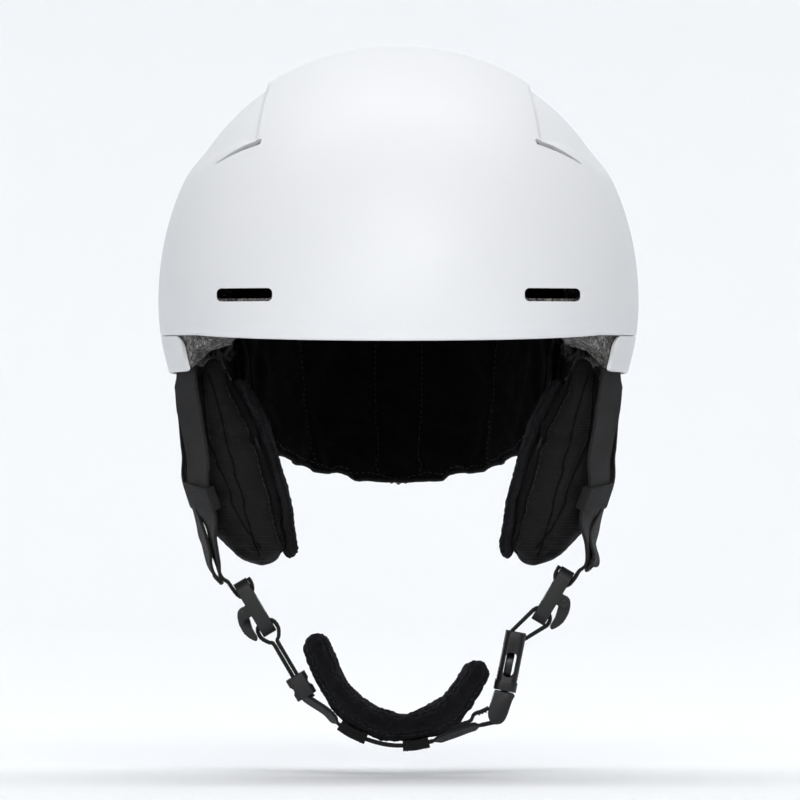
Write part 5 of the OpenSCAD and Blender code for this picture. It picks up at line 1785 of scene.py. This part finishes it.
def build_chin_pad():
    """pile-faced pad with a sewn edge"""
    mid, across, face = upright_band(resample(curve(CHIN_PAD, 12), PAD_SPACING))
    count = len(mid)
    down = pad_depths(mid, face)
    t = np.linspace(0, 2 * math.pi, 40, endpoint=False)
    loops = []
    for i in range(count):
        to_end = min(i, count - 1 - i) * PAD_SPACING
        fullness = math.sqrt(min(1.0, 0.10 + to_end / 4.2))
        x = signed_power(np.cos(t), 3.2) * (16.4 - 1.6 * (1 - fullness))
        y = signed_power(np.sin(t), 2.4) * np.where(np.sin(t) > 0, 4.9, down[i]) * fullness
        loops.append(mid[i] + across[i] * x[:, None] + face[i] * y[:, None])
    ob = pad_mesh("chin_pad_v", *sweep(np.array(loops)), PLUSH)
    mid_tree = point_tree(mid)

    def hold(points):
        station = np.array([mid_tree.find(Vector(p))[1] for p in points])
        weight = bell(np.abs(points[:, 1] - STRAP_Y), PAD_SEAM, 1.6) * 0.9
        return np.where((station < 3) | (station > count - 4), 1.0, weight)

    puff(ob, voxel=2.6, cap=1.0, hold=hold, levels=2)
    co, normal = surface(ob)
    height = (-0.55 * bell(np.abs(co[:, 1] - STRAP_Y), PAD_SEAM, 0.9)
              + 0.34 * field(co, 6.0, 1) + 0.30 * field(co, 2.6, 4) + 0.20 * field(co, 1.5, 7))
    set_coords(ob.data, (co + normal * height[:, None]) * MM)
    finish_mesh(ob, PLUSH)
    tree = surface_tree(ob)
    parts = [ob]
    for y in (-PAD_SEAM, PAD_SEAM):
        for lift in (6.0, -6.0):
            path = mid[3:-3] + across[3:-3] * y + face[3:-3] * lift
            parts.append(stitch_line(path, tree, 3.0, 2.0, 0.2))
    ob = join("chin_pad_v", parts)
    finish_mesh(ob)
    place(ob, "chin", "chin_pad")


def sleeve(points):
    """cloth sleeve round the strap, hemmed and stitched at both ends"""
    spacing = 0.7
    band = upright_band(resample(curve(points, 10), spacing))
    outer = rounded_rect(24.6, 4.7, 1.9)
    inner = rounded_rect(21.6, 2.6, 1.0)
    count = len(band[0])
    k = np.arange(count) * spacing
    hem = (0.22 * bell(k, 1.0, 0.8) + 0.22 * bell(k, k[-1] - 1.0, 0.8)
           - 0.22 * bell(k, 2.4, 0.5) - 0.22 * bell(k, k[-1] - 2.4, 0.5))
    swell = [hem + 0.12 * np.sin(k * 0.9 + j * 0.5) for j in range(len(outer))]
    loops = hollow_loops(band, outer, inner, swell)
    ob = mesh("sleeve", *sweep(loops, closed=True), COVER, sharp=55)
    tree = surface_tree(ob)
    hem_index = int(2.4 / spacing)
    stitches = [cross_stitches(band, i, lift, tree)
                for i in (hem_index, count - 1 - hem_index) for lift in (3.2, -3.2)]
    return [ob] + stitches


build_chin_pad()
ob = join("chin_sleeves_v", sleeve([[-27, -176.6], [-21.5, -180.1], [-15, -183]])
          + sleeve([[2, -186.1], [8, -185.7], [14, -184.4]]))
finish_mesh(ob, sharp=50)
place(ob, "chin", "chin_sleeves")


# ------------------------------------------------------------------ buckle, adjuster, clip
def housing_ridges():
    """three ridges on each face of the buckle housing"""
    out = []
    for x in (4.62, -4.62):
        for k in range(3):
            point = buckle_point(x, 6.0 + k * 1.7)
            path = [in_space(point, STRAP_Y + y) for y in np.linspace(-8.0, 8.0, 12)]
            out.append(tube(path, 0.3, ACETAL, 8))
    return out


def flap_ridges():
    """three ridges on the clip flap, behind the shell's rear"""
    return [tube(skin(np.linspace(87.4, 92.6, 12), z, -7.7), 0.4, NYLON, 8)
            for z in (-9.4, -7.4, -5.4)]


# node, body, material, slot, edge radius in mm, bevel segments, edge angle in degrees, ridges
ROUNDED_PARTS = (
    ("strap_slider", "slider", NYLON, "nylon", 0.45, 3, 32, None),
    ("buckle_housing", "helmet", ACETAL, "hardware_black", 0.55, 3, 32, housing_ridges),
    ("buckle_tongue", "chin", ACETAL, "hardware_black", 0.4, 3, 32, None),
    ("buckle_prong_front", "prong_front", ACETAL, "hardware_black", 0.3, 3, 32, None),
    ("buckle_prong_rear", "prong_rear", ACETAL, "hardware_black", 0.3, 3, 32, None),
    ("fit_cradle", "cradle", BELT, "nylon", 0.25, 2, 40, None),
    ("fit_cover", "cradle", NYLON, "nylon", 0.6, 3, 40, None),
    ("fit_dial", "dial", NYLON, "hardware_black", 0.35, 2, 50, None),
    ("headband_left", "headband", BELT, "nylon", 0.2, 2, 50, None),
    ("headband_right", "headband", BELT, "nylon", 0.2, 2, 50, None),
    ("goggle_clip_base", "helmet", NYLON, "hardware_black", 0.3, 2, 40, None),
    ("goggle_clip_flap", "clip_flap", NYLON, "hardware_black", 0.3, 2, 40, flap_ridges))
for *settings, ridges in ROUNDED_PARTS:
    rounded(*settings, extra=ridges() if ridges else ())

PLAIN_PARTS = (
    ("dial_pinion", NYLON), ("dial_screw", STEEL), ("headband_pins", NYLON),
    ("strap_anchor_plugs", NYLON), ("ear_pad_hangers", BELT), ("ear_pad_studs", NYLON),
    ("ear_pad_frame_left", BELT), ("ear_pad_frame_right", BELT), ("goggle_clip_pin", STEEL),
    ("goggle_clip_rivets", STEEL), ("liner_hook_patches", HOOK), ("rear_vent_screens", SCREEN))
for node, mat in PLAIN_PARTS:
    dress(node, mat)

# ------------------------------------------------------------------ studio, in metres
FLOOR_Z = -0.2
FLOOR_HALF_WIDTH = 5.0
BEND_Y, BEND_RADIUS = 0.9, 0.5


def floor_material():
    g = Shader("floor_pale")
    mottle = g.noise(g.obj, scale=6, detail=3)
    color = g.mix(mottle, (0.86, 0.875, 0.89), (0.89, 0.90, 0.915))
    to_camera = g.node("ShaderNodeLightPath")
    height = g.node("ShaderNodeSeparateXYZ", g.obj, out=2)
    # a faint glow for the camera, stronger on the level part
    glow = g.remap(height, low=0.11, high=0.03, start=-0.1995, end=-0.15)
    g.done(color, g.ramp(mottle, start=0, end=1, low=0.75, high=0.9),
           Emission_Color=(0.95, 0.97, 1.0, 1), Emission_Strength=g.mul(to_camera, glow))
    # seen from behind or below, the sweep is open to the camera
    backfacing = g.node("ShaderNodeNewGeometry", out=6)
    clear = g.tree.nodes.new("ShaderNodeBsdfTransparent").outputs[0]
    mixed = g.node("ShaderNodeMixShader", g.mul(to_camera, backfacing),
                   g.principled.outputs[0], clear)
    g.link(mixed, g.output.inputs[0])
    return g.material


def build_floor():
    """level floor that bends up into a backdrop"""
    profile = [(-4.0, FLOOR_Z), (BEND_Y, FLOOR_Z)]
    for k in range(1, 13):
        a = math.radians(90 * k / 12)
        profile.append((BEND_Y + BEND_RADIUS * math.sin(a),
                        FLOOR_Z + BEND_RADIUS * (1 - math.cos(a))))
    profile.append((BEND_Y + BEND_RADIUS, 3.2))
    points = [(x, y, z) for x in (-FLOOR_HALF_WIDTH, FLOOR_HALF_WIDTH) for y, z in profile]
    count = len(profile)
    faces = [(i, count + i, count + i + 1, i + 1) for i in range(count - 1)]
    me = bpy.data.meshes.new("floor")
    me.from_pydata(points, [], faces)
    ob = link("floor", me)
    me.polygons.foreach_set("use_smooth", [True] * len(me.polygons))
    me.materials.append(floor_material())
    return ob


def area_light(name, location, target, size, watts):
    light = bpy.data.lights.new(name, "AREA")
    light.shape = "RECTANGLE"
    light.size, light.size_y = size
    light.energy = watts
    ob = link(name, light)
    ob.location = location
    ob.rotation_euler = (Vector(target) - Vector(location)).to_track_quat("-Z", "Y").to_euler()


def build_world():
    """pale surroundings, brighter to the camera than as a light"""
    world = bpy.context.scene.world or bpy.data.worlds.new("world")
    bpy.context.scene.world = world
    world.use_nodes = True
    tree = world.node_tree
    background = tree.nodes.get("Background")
    background.inputs[0].default_value = (0.93, 0.95, 1.0, 1)
    light_path = tree.nodes.new("ShaderNodeLightPath")
    strength = tree.nodes.new("ShaderNodeMapRange")
    tree.links.new(light_path.outputs["Is Camera Ray"], strength.inputs["Value"])
    strength.inputs["To Min"].default_value = 0.22
    strength.inputs["To Max"].default_value = 0.97
    tree.links.new(strength.outputs[0], background.inputs[1])


def build_camera():
    """long lens, level, looking along +Y at the front"""
    camera = bpy.data.cameras.new("cam")
    camera.lens = 583.8
    camera.sensor_width = 36
    camera.clip_start = 0.05
    ob = link("cam", camera)
    ob.location = (0.0007, -6.0, -0.0268)
    ob.rotation_euler = (math.radians(90), 0, 0)
    bpy.context.scene.camera = ob


floor = build_floor()
# name, location, target, size, watts
LIGHTS = (
    ("key", (0.2, -2.55, 1.25), (0, 0, 0.02), (1.5, 1.3), 38),
    ("fill", (-1.0, -2.3, 0.2), (0, 0, 0.0), (1.2, 1.2), 8),
    ("top", (0, -0.3, 1.9), (0, 0, 0), (1.4, 1.2), 2),
    ("rim1", (-1.7, 0.6, 0.6), (0, 0, 0), (0.7, 1.2), 1.0),
    ("rim2", (1.7, 0.6, 0.6), (0, 0, 0), (0.7, 1.2), 1.0),
    ("backlight", (0, 0.5, 2.4), (0, 1.5, 0.2), (3.4, 0.8), 35))
for light in LIGHTS:
    area_light(*light)
bpy.context.scene.view_settings.view_transform = "Standard"
build_world()
build_camera()

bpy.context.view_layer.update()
